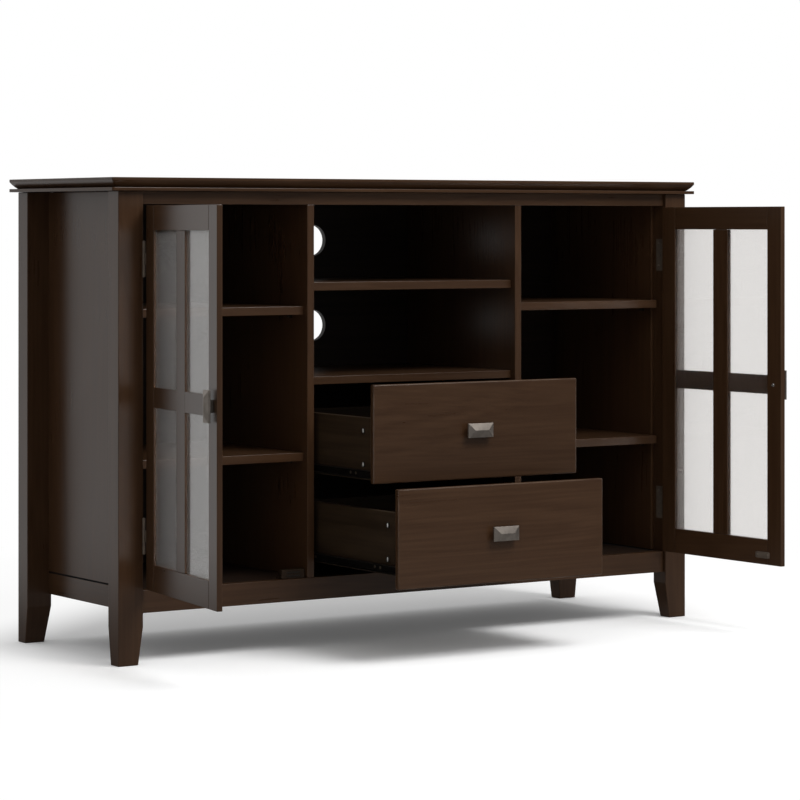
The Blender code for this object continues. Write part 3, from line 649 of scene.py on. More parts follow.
@dataclass(frozen=True)
class Inlay:
    """The metal that is fixed to a board, and the painted shade of a seam: what lies past a limit
    along one of its axes.
    """

    axis: int
    limit: float
    beyond: bool = True

    def mask(self, wiring: Wiring, where: bpy.types.NodeSocket) -> bpy.types.NodeSocket:
        """A mask of the metal.

        Args:
            wiring: The material's wiring.
            where: The coordinates, from the board's centre.

        Returns:
            1 on the metal and 0 on the board.
        """
        kind = "GREATER_THAN" if self.beyond else "LESS_THAN"
        return wiring.number(kind, wiring.parts(where)[self.axis], self.limit)


@dataclass(frozen=True)
class StainedWood(Finish):
    """Dark stained wood under satin lacquer, with worn edges that on the drawer fronts are a
    painted highlight along the arris.
    """

    slot: str = "dark_lacquer"
    dark: Colour = (0.0300, 0.0130, 0.0055)
    light: Colour = (0.0610, 0.0300, 0.0140)
    rubbed: Colour = (0.105, 0.062, 0.039)
    figure: float = 0.50
    pores: float = 0.16
    roughness: float = 0.28
    shine: float = 0.40
    rub: float = 0.10
    rub_width: float = 0.0022
    cloud: float = 0.09
    ripple: float = 240.0
    tone_low: float = 0.90
    tone_spread: float = 0.20
    seeds: int = 17
    seed_start: float = 0.37
    sheen: float = 0.05
    ripple_share: float = 0.6
    relief: float = 0.00006
    relief_strength: float = 0.5

    def material(self, name: str, low: np.ndarray, high: np.ndarray, place: Placement,
                 grain: Grain, seed: int, metal: WorkedMetal | None = None,
                 inlays: Sequence[Inlay] = ()) -> bpy.types.Material:
        """The finish on one board.

        Args:
            name: The board's node name.
            low: The board's lowest corner in its own frame.
            high: Its highest corner.
            place: The board's own frame.
            grain: The way its grain runs in that frame.
            seed: A number of its own, so that no two boards match.
            metal: The finish of the metal that is fixed to it; on the side boards, the painted
                shade of their seam.
            inlays: Where that finish lies, from the board's centre.

        Returns:
            The board's material.
        """
        made, w, shader = self.start(f"{self.slot}_{name}")
        centre = place.out(((low + high) / 2)[None, :])[0]
        where = self.centred(w, tuple(centre), place.yaw)
        run = self.along(w, where, grain)
        tone = self.tone_low + self.tone_spread * ((seed * GOLDEN_SHARE) % 1.0)
        wood = WoodFigure().place(
            w, Vector=run, Seed=float(seed % self.seeds) + self.seed_start,
            Dark=(*[c * tone for c in self.dark], 1.0),
            Light=(*[c * tone for c in self.light], 1.0),
            Figure=self.figure, Pores=self.pores).outputs
        rub = ArrisRub().place(w, Vector=where, Half_Size=tuple((high - low) / 2),
                               Width=self.rub_width, Amount=self.rub).outputs
        film = SatinFilm().place(w, Vector=where, Roughness=self.roughness,
                                 Cloud=self.cloud, Ripple_Scale=self.ripple).outputs
        # Worn edges, and on the drawer fronts a painted highlight along the arris.
        colour = w.blend(rub["Mask"], wood["Colour"], (*self.rubbed, 1.0))
        rough = w.number("ADD", film["Roughness"],
                         w.number("MULTIPLY", wood["Sheen"], self.sheen), clamp=True)
        if metal:
            spot = inlays[0].mask(w, where)
            for inlay in inlays[1:]:
                spot = w.number("MAXIMUM", spot, inlay.mask(w, where))
            lines = metal.lines(w, run)
            colour = w.blend(spot, colour, lines["Colour"])
            rough = w.ramp(spot, 0.0, 1.0, rough, lines["Roughness"])
            w.feed(shader.inputs["Metallic"], w.number("MULTIPLY", spot, metal.metallic))
        w.feed(shader.inputs["Base Color"], colour)
        w.feed(shader.inputs["Roughness"], rough)
        shader.inputs["Specular IOR Level"].default_value = self.shine
        height = w.number("ADD", wood["Height"],
                          w.number("MULTIPLY", film["Height"], self.ripple_share))
        w.feed(shader.inputs["Normal"], self.bump(
            w, height, self.relief, self.relief_strength))
        return made


@dataclass(frozen=True)
class FloatGlass(Finish):
    """Clear float glass with a trace of dust, which lets lamp light through."""

    tint: Colour = (0.850, 0.830, 0.812)
    refraction: float = 1.47
    smear_scale: float = 14.0
    smear_detail: float = 5.0
    smear_rough: float = 0.6
    smear_edges: Stretch = (0.45, 0.80)
    smear_haze: float = 0.004
    speck_scale: float = 1700.0
    speck_detail: float = 2.0
    speck_rough: float = 0.5
    speck_cut: float = 0.547
    speck_edge: float = 0.03
    speck_haze: float = 0.62

    def material(self, name: str) -> bpy.types.Material:
        """The glass of one pane, a plain tint to shadow rays.

        Args:
            name: The material's name.

        Returns:
            The pane's material.
        """
        made, w, shader = self.start(name)
        where = w.add("ShaderNodeTexCoord").outputs["Object"]
        smear = w.ramp(w.noise(where, self.smear_scale, self.smear_detail, self.smear_rough),
                       *self.smear_edges)
        specks = w.ramp(w.noise(where, self.speck_scale, self.speck_detail, self.speck_rough),
                        self.speck_cut, self.speck_cut + self.speck_edge)
        shader.inputs["Base Color"].default_value = (*self.tint, 1.0)
        shader.inputs["Transmission Weight"].default_value = 1.0
        shader.inputs["IOR"].default_value = self.refraction
        w.feed(shader.inputs["Roughness"], w.number(
            "ADD", w.number("MULTIPLY", smear, self.smear_haze),
            w.number("MULTIPLY", specks, self.speck_haze)))
        through = w.add("ShaderNodeBsdfTransparent")
        through.inputs[0].default_value = (*self.tint, 1.0)
        shadow = w.add("ShaderNodeLightPath").outputs["Is Shadow Ray"]
        chosen = w.add("ShaderNodeMixShader")
        for target, value in zip(chosen.inputs,
                                 (shadow, shader.outputs[0], through.outputs[0])):
            w.feed(target, value)
        output = next(n for n in w.tree.nodes if n.bl_idname == "ShaderNodeOutputMaterial")
        w.feed(output.inputs["Surface"], chosen.outputs[0])
        return made


@dataclass(frozen=True)
class MouldedPlastic(Finish):
    """Dark moulded plastic with a fine spark-eroded texture."""

    slot: str = "catch_plastic"
    colour: Colour = (0.025, 0.015, 0.009)
    roughness: float = 0.52
    shine: float = 0.12
    cloud: float = 0.12
    ripple: float = 1900.0
    scuff_scale: float = 90.0
    scuff_detail: float = 4.0
    scuff_rough: float = 0.5
    scuff_edges: Stretch = (0.5, 0.8)
    scuff_gain: float = 1.5
    relief: float = 0.00004
    relief_strength: float = 0.5

    def material(self, name: str) -> bpy.types.Material:
        """The plastic of one piece.

        Args:
            name: The piece's name.

        Returns:
            The piece's material.
        """
        made, w, shader = self.start(f"{self.slot}_{name}")
        where = w.add("ShaderNodeTexCoord").outputs["Object"]
        film = SatinFilm().place(w, Vector=where, Roughness=self.roughness,
                                 Cloud=self.cloud, Ripple_Scale=self.ripple).outputs
        scuff = w.ramp(w.noise(where, self.scuff_scale, self.scuff_detail, self.scuff_rough),
                       *self.scuff_edges)
        paler = tuple(min(1.0, c * self.scuff_gain) for c in self.colour)
        w.feed(shader.inputs["Base Color"], w.blend(
            scuff, (*self.colour, 1.0), (*paler, 1.0)))
        w.feed(shader.inputs["Roughness"], film["Roughness"])
        shader.inputs["Specular IOR Level"].default_value = self.shine
        w.feed(shader.inputs["Normal"], self.bump(
            w, film["Height"], self.relief, self.relief_strength))
        return made


@dataclass(frozen=True)
class Finishes:
    """Every finish on the stand."""

    lacquer: StainedWood = StainedWood()
    top: StainedWood = StainedWood(shine=0.28)
    # The drawer fronts' pale, strong edge colour is a painted highlight along their arrises, over
    # a little edge wear.
    front: StainedWood = StainedWood(rubbed=(0.20, 0.145, 0.105), rub=0.45)
    # The inside boards are stained darker than the outside, and darker still as painted shade for
    # the shadowed bays.
    inside: StainedWood = StainedWood(
        slot="dark_inside", dark=(0.0090, 0.0048, 0.0030), light=(0.0240, 0.0135, 0.0085),
        rubbed=(0.050, 0.032, 0.021), figure=0.7, pores=0.25, roughness=0.42, shine=0.30,
        rub=0.15)
    box: StainedWood = StainedWood(
        slot="dark_inside", dark=(0.0180, 0.0100, 0.0050), light=(0.0440, 0.0270, 0.0140),
        figure=0.7, pores=0.25, roughness=0.42, shine=0.30, rub=0.20)
    glass: FloatGlass = FloatGlass()
    pewter: WorkedMetal = WorkedMetal(
        slot="brushed_pewter", bright=(0.315, 0.276, 0.242), tarnish=(0.23, 0.20, 0.175),
        roughness=0.42, metallic=0.88)
    steel: WorkedMetal = WorkedMetal(
        slot="hinge_steel", bright=(0.20, 0.158, 0.122), tarnish=(0.15, 0.118, 0.092),
        roughness=0.50, metallic=0.55)
    zinc: WorkedMetal = WorkedMetal(
        slot="hinge_steel", bright=(0.75, 0.74, 0.72), tarnish=(0.55, 0.54, 0.52),
        roughness=0.22)
    # Near-white with little metal: the cam slots' colour is a painted glint over a nickel plate.
    nickel: WorkedMetal = WorkedMetal(
        slot="hinge_steel", bright=(0.88, 0.87, 0.84), tarnish=(0.70, 0.69, 0.66),
        roughness=0.25, metallic=0.35)
    # Near-black colour painted as the shade in the groove between each side rail and its panel.
    seam: WorkedMetal = WorkedMetal(
        slot="dark_lacquer", bright=(0.0030, 0.0020, 0.0015), tarnish=(0.0020, 0.0014, 0.0010),
        roughness=0.95, metallic=0.0)
    dark: WorkedMetal = WorkedMetal(
        slot="hinge_steel", bright=(0.070, 0.064, 0.058), tarnish=(0.045, 0.041, 0.037),
        roughness=0.45)
    runner: WorkedMetal = WorkedMetal(
        slot="black_runner", bright=(0.008, 0.006, 0.0045), tarnish=(0.006, 0.0045, 0.0035),
        roughness=0.55, metallic=0.3)
    plastic: MouldedPlastic = MouldedPlastic()


@dataclass(frozen=True)
class RingSolid:
    """A solid of stacked rings: an outline drawn in or out at each height of a profile."""

    outline: np.ndarray
    profile: np.ndarray

    def mesh(self, name: str, origin: Sequence[float],
             axes: np.ndarray) -> bpy.types.Mesh:
        """The closed surface P(u, v) = origin + outline(u) * share(v) + axis * height(v).

        Args:
            name: The mesh's name.
            origin: Where the profile's foot stands.
            axes: Three rows: the outline's two directions and the rising one.

        Returns:
            A mesh whose two ends close on a single point each.
        """
        around, up = len(self.outline), len(self.profile)
        share = self.profile[:, 0][:, None, None]
        flat = self.outline[None, :, :] * share
        rise = np.broadcast_to(self.profile[:, 1][:, None, None], (up, around, 1))
        local = np.concatenate([flat, rise], axis=2).reshape(-1, 3)
        caps = np.array([[0, 0, self.profile[0, 1]], [0, 0, self.profile[-1, 1]]])
        points = np.concatenate([local, caps]) @ axes + np.asarray(origin)
        u = np.arange(around)
        v = np.arange(up - 1)
        a = v[:, None] * around + u[None, :]
        b = v[:, None] * around + (u[None, :] + 1) % around
        quads = np.stack([a, b, b + around, a + around], axis=-1).reshape(-1, 4)
        foot = np.stack([u, np.full(around, up * around), (u + 1) % around], axis=-1)
        last = (up - 1) * around
        head = np.stack([last + u, last + (u + 1) % around,
                         np.full(around, up * around + 1)], axis=-1)
        made = bpy.data.meshes.new(name)
        made.from_pydata(points.tolist(), [], quads.tolist() + foot.tolist() + head.tolist())
        if np.linalg.det(axes) < 0:
            made.flip_normals()
        made.update()
        made.shade_smooth()
        made.set_sharp_from_angle(angle=math.radians(SHARP_DEGREES))
        return made


def circle(radius: float, sides: int) -> np.ndarray:
    """A circle as (x, y) = radius * (cos t, sin t).

    Args:
        radius: Its radius.
        sides: How many points stand for it.

    Returns:
        The points, one a row.
    """
    turn = np.linspace(0.0, 2.0 * math.pi, sides, endpoint=False)
    return radius * np.stack([np.cos(turn), np.sin(turn)], axis=1)


def rounded_bar(width: float, height: float, power: float, sides: int) -> np.ndarray:
    """A superellipse |x / a| ** power + |y / b| ** power = 1 with equal turns.

    Args:
        width: Its whole width, 2 a.
        height: Its whole height, 2 b.
        power: How square it is; 2 is an ellipse.
        sides: How many points stand for it.

    Returns:
        The points, one a row.
    """
    turn = np.linspace(0.0, 2.0 * math.pi, sides, endpoint=False)
    c, s = np.cos(turn), np.sin(turn)
    reach = (np.abs(c) ** power + np.abs(s) ** power) ** (-1.0 / power)
    return np.stack([width / 2 * reach * c, height / 2 * reach * s], axis=1)


def facing(normal: Sequence[float]) -> np.ndarray:
    """Axes for a fitting on a face.

    Args:
        normal: The way the face looks.

    Returns:
        Three rows: across, up and out along the normal.
    """
    out = np.asarray(normal, float)
    out = out / np.linalg.norm(out)
    level = abs(out[Z]) < UPRIGHT_LIMIT
    up = np.array([0.0, 0.0, 1.0]) if level else np.array([0.0, 1.0, 0.0])
    across = np.cross(up, out)
    across = across / np.linalg.norm(across)
    return np.stack([across, np.cross(out, across), out])


def add_object(name: str, mesh: bpy.types.Mesh, material: bpy.types.Material,
               body: str, slot: str) -> bpy.types.Object:
    """One new piece that rides on a body.

    Args:
        name: The piece's name.
        mesh: Its surface, in the stand's frame.
        material: Its finish.
        body: The body that carries it.
        slot: The record's material slot of its finish; not used.

    Returns:
        The new object.
    """
    made = bpy.data.objects.new(name, mesh)
    bpy.context.scene.collection.objects.link(made)
    mesh.materials.append(material)
    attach(made, body)
    LOG.info("piece %s rides on %s", name, body)
    return made


@dataclass(frozen=True)
class Screw:
    """A pan head: its radius falls from the rim to a dished driving recess in the middle."""

    radius: float
    rise: float
    sides: int = 28
    shape: Profile = ((1.0, -0.3), (1.0, 0.25), (0.93, 0.62), (0.72, 0.92), (0.46, 1.0),
                      (0.36, 0.95), (0.26, 0.45), (0.10, 0.30))

    def head(self) -> RingSolid:
        """The head, with the shape's heights in shares of its rise."""
        return RingSolid(circle(self.radius, self.sides),
                         np.array(self.shape) * (1.0, self.rise))


@dataclass
class SubAssembly:
    """What every sub-assembly shares: its finishes, its body and its own frame."""

    finishes: Finishes
    body: str = "cabinet"
    place: Placement = field(default_factory=Placement)
    first_weight: int = 3

    def wood(self, node: str, grain: Grain, finish: StainedWood | None = None,
             metal: WorkedMetal | None = None, limits: Sequence[Inlay] = ()) -> None:
        """Put stained wood on a packed board.

        Args:
            node: The board's node name.
            grain: The way its grain runs.
            finish: Its finish, or none for the lacquer.
            metal: The finish of the metal that is fixed to it; on the side boards, the painted
                shade of their seam.
            limits: Where that finish lies, in this sub-assembly's own frame.
        """
        chosen = finish or self.finishes.lacquer
        low, high = self.place.extent(node)
        middle = (low + high) / 2
        inlays = [Inlay(i.axis, i.limit - middle[i.axis], i.beyond) for i in limits]
        seed = sum(ord(letter) * weight
                   for weight, letter in enumerate(node, start=self.first_weight))
        self.dress(node, chosen.material(node, low, high, self.place, grain, seed,
                                         metal, inlays))

    def metal(self, node: str, finish: WorkedMetal, grain: Grain) -> None:
        """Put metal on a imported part.

        Args:
            node: The part's node name.
            finish: Its metal.
            grain: The way it is brushed.
        """
        low, high = self.place.extent(node)
        centre = tuple(self.place.out(((low + high) / 2)[None, :])[0])
        self.dress(node, finish.material(node, centre, self.place.yaw, grain))

    def dress(self, node: str, material: bpy.types.Material) -> None:
        """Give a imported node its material.

        Args:
            node: The node's name.
            material: Its material.
        """
        target = frame["nodes"][node]
        if not target.material_slots:
            target.data.materials.append(None)
        for slot in target.material_slots:
            slot.material = material
        LOG.info("node %s wears %s", node, material.name)

    def fitting(self, name: str, solid: RingSolid, local: Sequence[float],
                normal: Sequence[float], finish: WorkedMetal) -> None:
        """A small metal fitting on a face.

        Args:
            name: The piece's name.
            solid: Its stacked rings.
            local: Where it sits, in this sub-assembly's own frame.
            normal: The way it faces, in that frame.
            finish: Its metal.
        """
        origin = self.place.out(np.array([local], float))[0]
        turned = Placement(yaw=self.place.yaw).out(np.array([normal], float))[0]
        mesh = solid.mesh(name, origin, facing(turned))
        material = finish.material(name, tuple(origin), self.place.yaw, Grain.ACROSS)
        add_object(name, mesh, material, self.body, finish.slot)


@dataclass
class Carcass(SubAssembly):
    """Top, posts, rails, panels, dividers, shelves and back."""

    # Height of the painted shade line along that groove.
    seam_width: float = 0.0016

    def build(self) -> None:
        """Dress every fixed board."""
        for node in ("top_panel", "top_strip"):
            self.wood(node, Grain.ACROSS, self.finishes.top)
        for node in ("top_rail_front", "bottom_rail_front", "centre_shelf",
                     "drawer_top_shelf", "left_upper_shelf", "left_lower_shelf",
                     "right_upper_shelf", "right_lower_shelf"):
            self.wood(node, Grain.ACROSS)
        for node in ("post_front_left", "post_front_right", "post_rear_left",
                     "post_rear_right", "divider_left", "divider_right"):
            self.wood(node, Grain.UPRIGHT)
        for side in Side:
            self.panelled_side(side)
        for node in ("bottom_panel", "back_panel"):
            self.wood(node, Grain.ACROSS, self.finishes.inside)

    def panelled_side(self, side: Side) -> None:
        """The side rail and the panel over it, with a dark line painted where they meet as the
        shade of the groove between them.

        Args:
            side: Which side of the stand.
        """
        rail, panel = f"side_rail_{side.word}", f"side_panel_{side.word}"
        top, foot = self.place.extent(rail)[1][Z], self.place.extent(panel)[0][Z]
        self.wood(rail, Grain.DEEP, metal=self.finishes.seam,
                  limits=(Inlay(Z, top - self.seam_width),))
        self.wood(panel, Grain.UPRIGHT, metal=self.finishes.seam,
                  limits=(Inlay(Z, foot + self.seam_width, False),))


@dataclass
class ShelfPins(SubAssembly):
    """Four steel pegs under each side shelf."""

    radius: float = 0.0025
    length: float = 0.009
    inset: float = 0.045
    gap: float = 0.0002
    collar: float = 1.5
    tip: float = 0.0006
    sides: int = 20
    foot: Profile = ((1.5, 0.0), (1.5, 0.0008), (1.4, 0.0012), (1.0, 0.0014))

    def build(self) -> None:
        """A peg = a cylinder with a collar against the wall and a rounded end."""
        profile = np.array(self.foot + ((1.0, self.length - self.tip), (0.8, self.length)))
        peg = RingSolid(circle(self.radius, self.sides), profile)
        for side in Side:
            for level in ("lower", "upper"):
                low, high = self.place.extent(f"{side.word}_{level}_shelf")
                height = low[Z] - self.gap - self.collar * self.radius
                for wall, x, inward in (("a", low[X], 1.0), ("b", high[X], -1.0)):
                    for end, y in (("front", low[Y] + self.inset),
                                   ("rear", high[Y] - self.inset)):
                        self.fitting(f"{side.word}_{level}_pin_{wall}_{end}", peg,
                                     (x, y, height), (inward, 0.0, 0.0),
                                     self.finishes.dark)


@dataclass
class Hinges(SubAssembly):
    """The leaves on the posts with their screws."""

    screw: Screw = Screw(0.0027, 0.0006)
    rows: tuple[float, ...] = (0.010, 0.0325, 0.055)
    rows_start: float = 0.0009
    staggered: tuple[float, ...] = (0.008, 0.0145, 0.008)
    leaf: float = 0.0013

    def build(self) -> None:
        """Dress each leaf and set three screws in it, staggered."""
        for side in Side:
            for level in ("lower", "upper"):
                node = f"{side.word}_{level}_hinge"
                self.metal(node, self.finishes.steel, Grain.UPRIGHT)
                low, high = self.place.extent(node)
                face = self.leaf_face(side)
                for count, (row, back) in enumerate(zip(self.rows, self.staggered), start=1):
                    self.fitting(f"{side.word}_{level}_leaf_screw_{count}",
                                 self.screw.head(),
                                 (face, high[Y] - back, low[Z] + self.rows_start + row),
                                 (-float(side.value), 0.0, 0.0), self.finishes.steel)

    def leaf_face(self, side: Side) -> float:
        """Where the leaf's face towards the bay lies along X.

        Args:
            side: Which side of the stand.

        Returns:
            The place along X.
        """
        low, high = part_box(f"post_front_{side.word}")
        post_face = low.x if side is Side.RIGHT else high.x
        return post_face - side.value * self.leaf


@dataclass
class Catches(SubAssembly):
    """Magnetic catches with two pole plates each."""

    plate_width: float = 0.0300
    plate_height: float = 0.0022
    squareness: float = 8.0
    sides: int = 40
    rise: Profile = ((1.0, -0.0005), (1.0, 0.0007), (0.97, 0.0009), (0.5, 0.0009))
    lift: float = 0.0032

    def build(self) -> None:
        """Dress each housing and set two pole plates in its front."""
        plate = RingSolid(rounded_bar(self.plate_width, self.plate_height,
                                      self.squareness, self.sides), np.array(self.rise))
        for side in Side:
            node = f"{side.word}_door_catch"
            self.dress(node, self.finishes.plastic.material(node))
            low, high = self.place.extent(node)
            middle = (low + high) / 2
            for label, lift in (("low", -self.lift), ("high", self.lift)):
                self.fitting(f"{side.word}_catch_pole_{label}", plate,
                             (middle[X], low[Y], middle[Z] + lift), (0.0, -1.0, 0.0),
                             self.finishes.dark)


@dataclass
class GlazedDoor(SubAssembly):
    """A door's frame, glass, pull and the fittings on its inner face."""

    side: Side = Side.LEFT
    shoulder: float = 0.0003
    leaf_rise: float = 0.0002
    pull_screw: Screw = Screw(0.0036, 0.0016)
    pull_inset: float = 0.0224
    strike_width: float = 0.040
    strike_height: float = 0.0125
    strike_squareness: float = 9.0
    strike_sides: int = 56
    strike_rise: Profile = ((1.0, -0.0004), (1.0, 0.0008), (0.98, 0.0011), (0.5, 0.0012),
                            (0.1, 0.0012))
    strike_inset: float = 0.052
    strike_lift: float = 0.0185
    strike_face: float = 0.0011
    strike_screw: Screw = Screw(0.0025, 0.0009)
    strike_spread: float = 0.0145

    def build(self) -> None:
        """Dress the frame and the glass, then add the fittings."""
        word = f"{self.side.word}_door"
        for node in ("free_stile", "glazing_bars"):
            self.wood(f"{word}_{node}", Grain.UPRIGHT)
        self.hinge_stile(word)
        for node in ("top_rail", "bottom_rail"):
            self.wood(f"{word}_{node}", Grain.ACROSS)
        for node in ("inner_pane", "outer_pane"):
            self.dress(f"{word}_{node}",
                       self.finishes.glass.material(f"clear_glass_{word}_{node}"))
        self.metal(f"{word}_pull", self.finishes.pewter, Grain.UPRIGHT)
        self.fittings(word)

    def hinge_stile(self, word: str) -> None:
        """Wood with steel where the hinge's knuckle and leaf stand out of it.

        Args:
            word: The start of the door's node names.
        """
        rail_low, rail_high = self.place.extent(f"{word}_top_rail")
        stile_low, stile_high = self.place.extent(f"{word}_free_stile")
        width = stile_high[X] - stile_low[X] + self.shoulder - self.leaf_rise
        if self.side is Side.RIGHT:
            edge = Inlay(X, rail_high[X] + width, True)
        else:
            edge = Inlay(X, rail_low[X] - width, False)
        knuckle = Inlay(Y, rail_low[Y] - self.leaf_rise, False)
        self.wood(f"{word}_hinge_stile", Grain.UPRIGHT, metal=self.finishes.steel,
                  limits=(edge, knuckle))

    def fittings(self, word: str) -> None:
        """The pull's screw and the strike plate with its two screws, on the inner face.

        Args:
            word: The start of the door's node names.
        """
        low, high = self.place.extent(f"{word}_free_stile")
        inward = float(self.side.value)
        free = low[X] if self.side is Side.RIGHT else high[X]
        back = high[Y]
        outwards = (0.0, 1.0, 0.0)
        pull_low, pull_high = self.place.extent(f"{word}_pull")
        self.fitting(f"{word}_pull_screw", self.pull_screw.head(),
                     (free + inward * self.pull_inset, back, (pull_low[Z] + pull_high[Z]) / 2),
                     outwards, self.finishes.zinc)
        plate = RingSolid(rounded_bar(self.strike_width, self.strike_height,
                                      self.strike_squareness, self.strike_sides),
                          np.array(self.strike_rise))
        across, height = free + inward * self.strike_inset, low[Z] + self.strike_lift
        self.fitting(f"{word}_strike", plate, (across, back, height), outwards,
                     self.finishes.steel)
        for label, shift in (("near", -self.strike_spread), ("far", self.strike_spread)):
            self.fitting(f"{word}_strike_screw_{label}", self.strike_screw.head(),
                         (across + shift, back + self.strike_face, height), outwards,
                         self.finishes.steel)


@dataclass
class Drawer(SubAssembly):
    """A drawer's front, box, pull, cam locks and the screws of its channels."""

    level: str = "upper"
    back_gap: float = 0.0003
    side_board: float = 0.012
    paint_gap: float = 0.0001
    cam_radius: float = 0.0062
    cam_sides: int = 32
    cam_rise: Profile = ((1.0, -0.0006), (1.0, 0.0004), (0.94, 0.0008), (0.62, 0.0009),
                         (0.52, 0.0003), (0.12, 0.0003))
    cam_inset: float = 0.042
    cam_shares: Stretch = (0.245, 0.79)
    slot_width: float = 0.0034
    slot_height: float = 0.0096
    slot_squareness: float = 3.0
    slot_sides: int = 40
    slot_rise: Profile = ((1.0, 0.0), (0.92, 0.0005), (0.66, 0.0008), (0.25, 0.0009))
    slot_foot: float = 0.0003
    pull_screw: Screw = Screw(0.0036, 0.0016)
    channel_screw: Screw = Screw(0.0029, 0.0012)
    channel_web: float = 0.0006
    channel_middle: float = 0.011
    channel_rows: tuple[float, ...] = (0.066, 0.084, 0.290)

    def build(self) -> None:
        """Dress the boards, then set the cam locks and the screws."""
        word = f"{self.level}_drawer"
        self.wood(f"{word}_front", Grain.ACROSS, self.finishes.front)
        for side in Side:
            past = self.box_face(word, side) + side.value * self.paint_gap
            self.wood(f"{word}_{side.word}_side", Grain.DEEP, self.finishes.box,
                      self.finishes.runner, (Inlay(X, past, side is Side.RIGHT),))
        for node in ("back", "bottom"):
            self.wood(f"{word}_{node}", Grain.ACROSS, self.finishes.box)
        self.metal(f"{word}_pull", self.finishes.pewter, Grain.ACROSS)
        self.cams(word)
        self.channel_screws(word)

    def cams(self, word: str) -> None:
        """Two cam locks a side, and the pull's screw inside the front.

        Args:
            word: The start of the drawer's node names.
        """
        front_low, front_high = self.place.extent(f"{word}_front")
        disc = RingSolid(circle(self.cam_radius, self.cam_sides), np.array(self.cam_rise))
        slot = RingSolid(rounded_bar(self.slot_width, self.slot_height,
                                     self.slot_squareness, self.slot_sides),
                         np.array(self.slot_rise))
        y = front_high[Y] + self.cam_inset
        for side in Side:
            low, high = self.place.extent(f"{word}_{side.word}_side")
            face = self.box_face(word, side)
            normal = (float(side.value), 0.0, 0.0)
            for label, share in zip(("low", "high"), self.cam_shares):
                z = low[Z] + (high[Z] - low[Z]) * share
                self.fitting(f"{word}_{side.word}_cam_{label}", disc, (face, y, z), normal,
                             self.finishes.dark)
                # The slot's near-white colour is a painted glint on each cam.
                self.fitting(f"{word}_{side.word}_cam_slot_{label}", slot,
                             (face + side.value * self.slot_foot, y, z), normal,
                             self.finishes.nickel)
        self.fitting(f"{word}_pull_screw", self.pull_screw.head(),
                     (0.0, front_high[Y], (front_low[Z] + front_high[Z]) / 2),
                     (0.0, 1.0, 0.0), self.finishes.zinc)

    def channel_screws(self, word: str) -> None:
        """Pan heads on the web of each channel, clear of the runner that it slides in.

        Args:
            word: The start of the drawer's node names.
        """
        inner_face = self.place.extent(f"{word}_front")[1][Y]
        for side in Side:
            foot = self.place.extent(f"{word}_{side.word}_side")[0][Z]
            web = self.box_face(word, side) + side.value * self.channel_web
            for count, row in enumerate(self.channel_rows, start=1):
                self.fitting(f"{word}_{side.word}_channel_screw_{count}",
                             self.channel_screw.head(),
                             (web, inner_face + row, foot + self.channel_middle),
                             (float(side.value), 0.0, 0.0), self.finishes.steel)

    def box_face(self, word: str, side: Side) -> float:
        """Where the outer face of the drawer's side lies along X, clear of its channel.

        Args:
            word: The start of the drawer's node names.
            side: Which side of the drawer.

        Returns:
            The place along X.
        """
        half = self.place.extent(f"{word}_back")[1][X]
        return side.value * (half + self.back_gap + self.side_board)


@dataclass
class Runners(SubAssembly):
    """The channels on the dividers."""

    def build(self) -> None:
        """Dress the four channels."""
        for level in ("lower", "upper"):
            for side in Side:
                self.metal(f"{level}_{side.word}_runner", self.finishes.runner, Grain.DEEP)


def grey(level: float) -> tuple[float, float, float, float]:
    """A grey as a socket takes it."""
    return (level, level, level, 1.0)


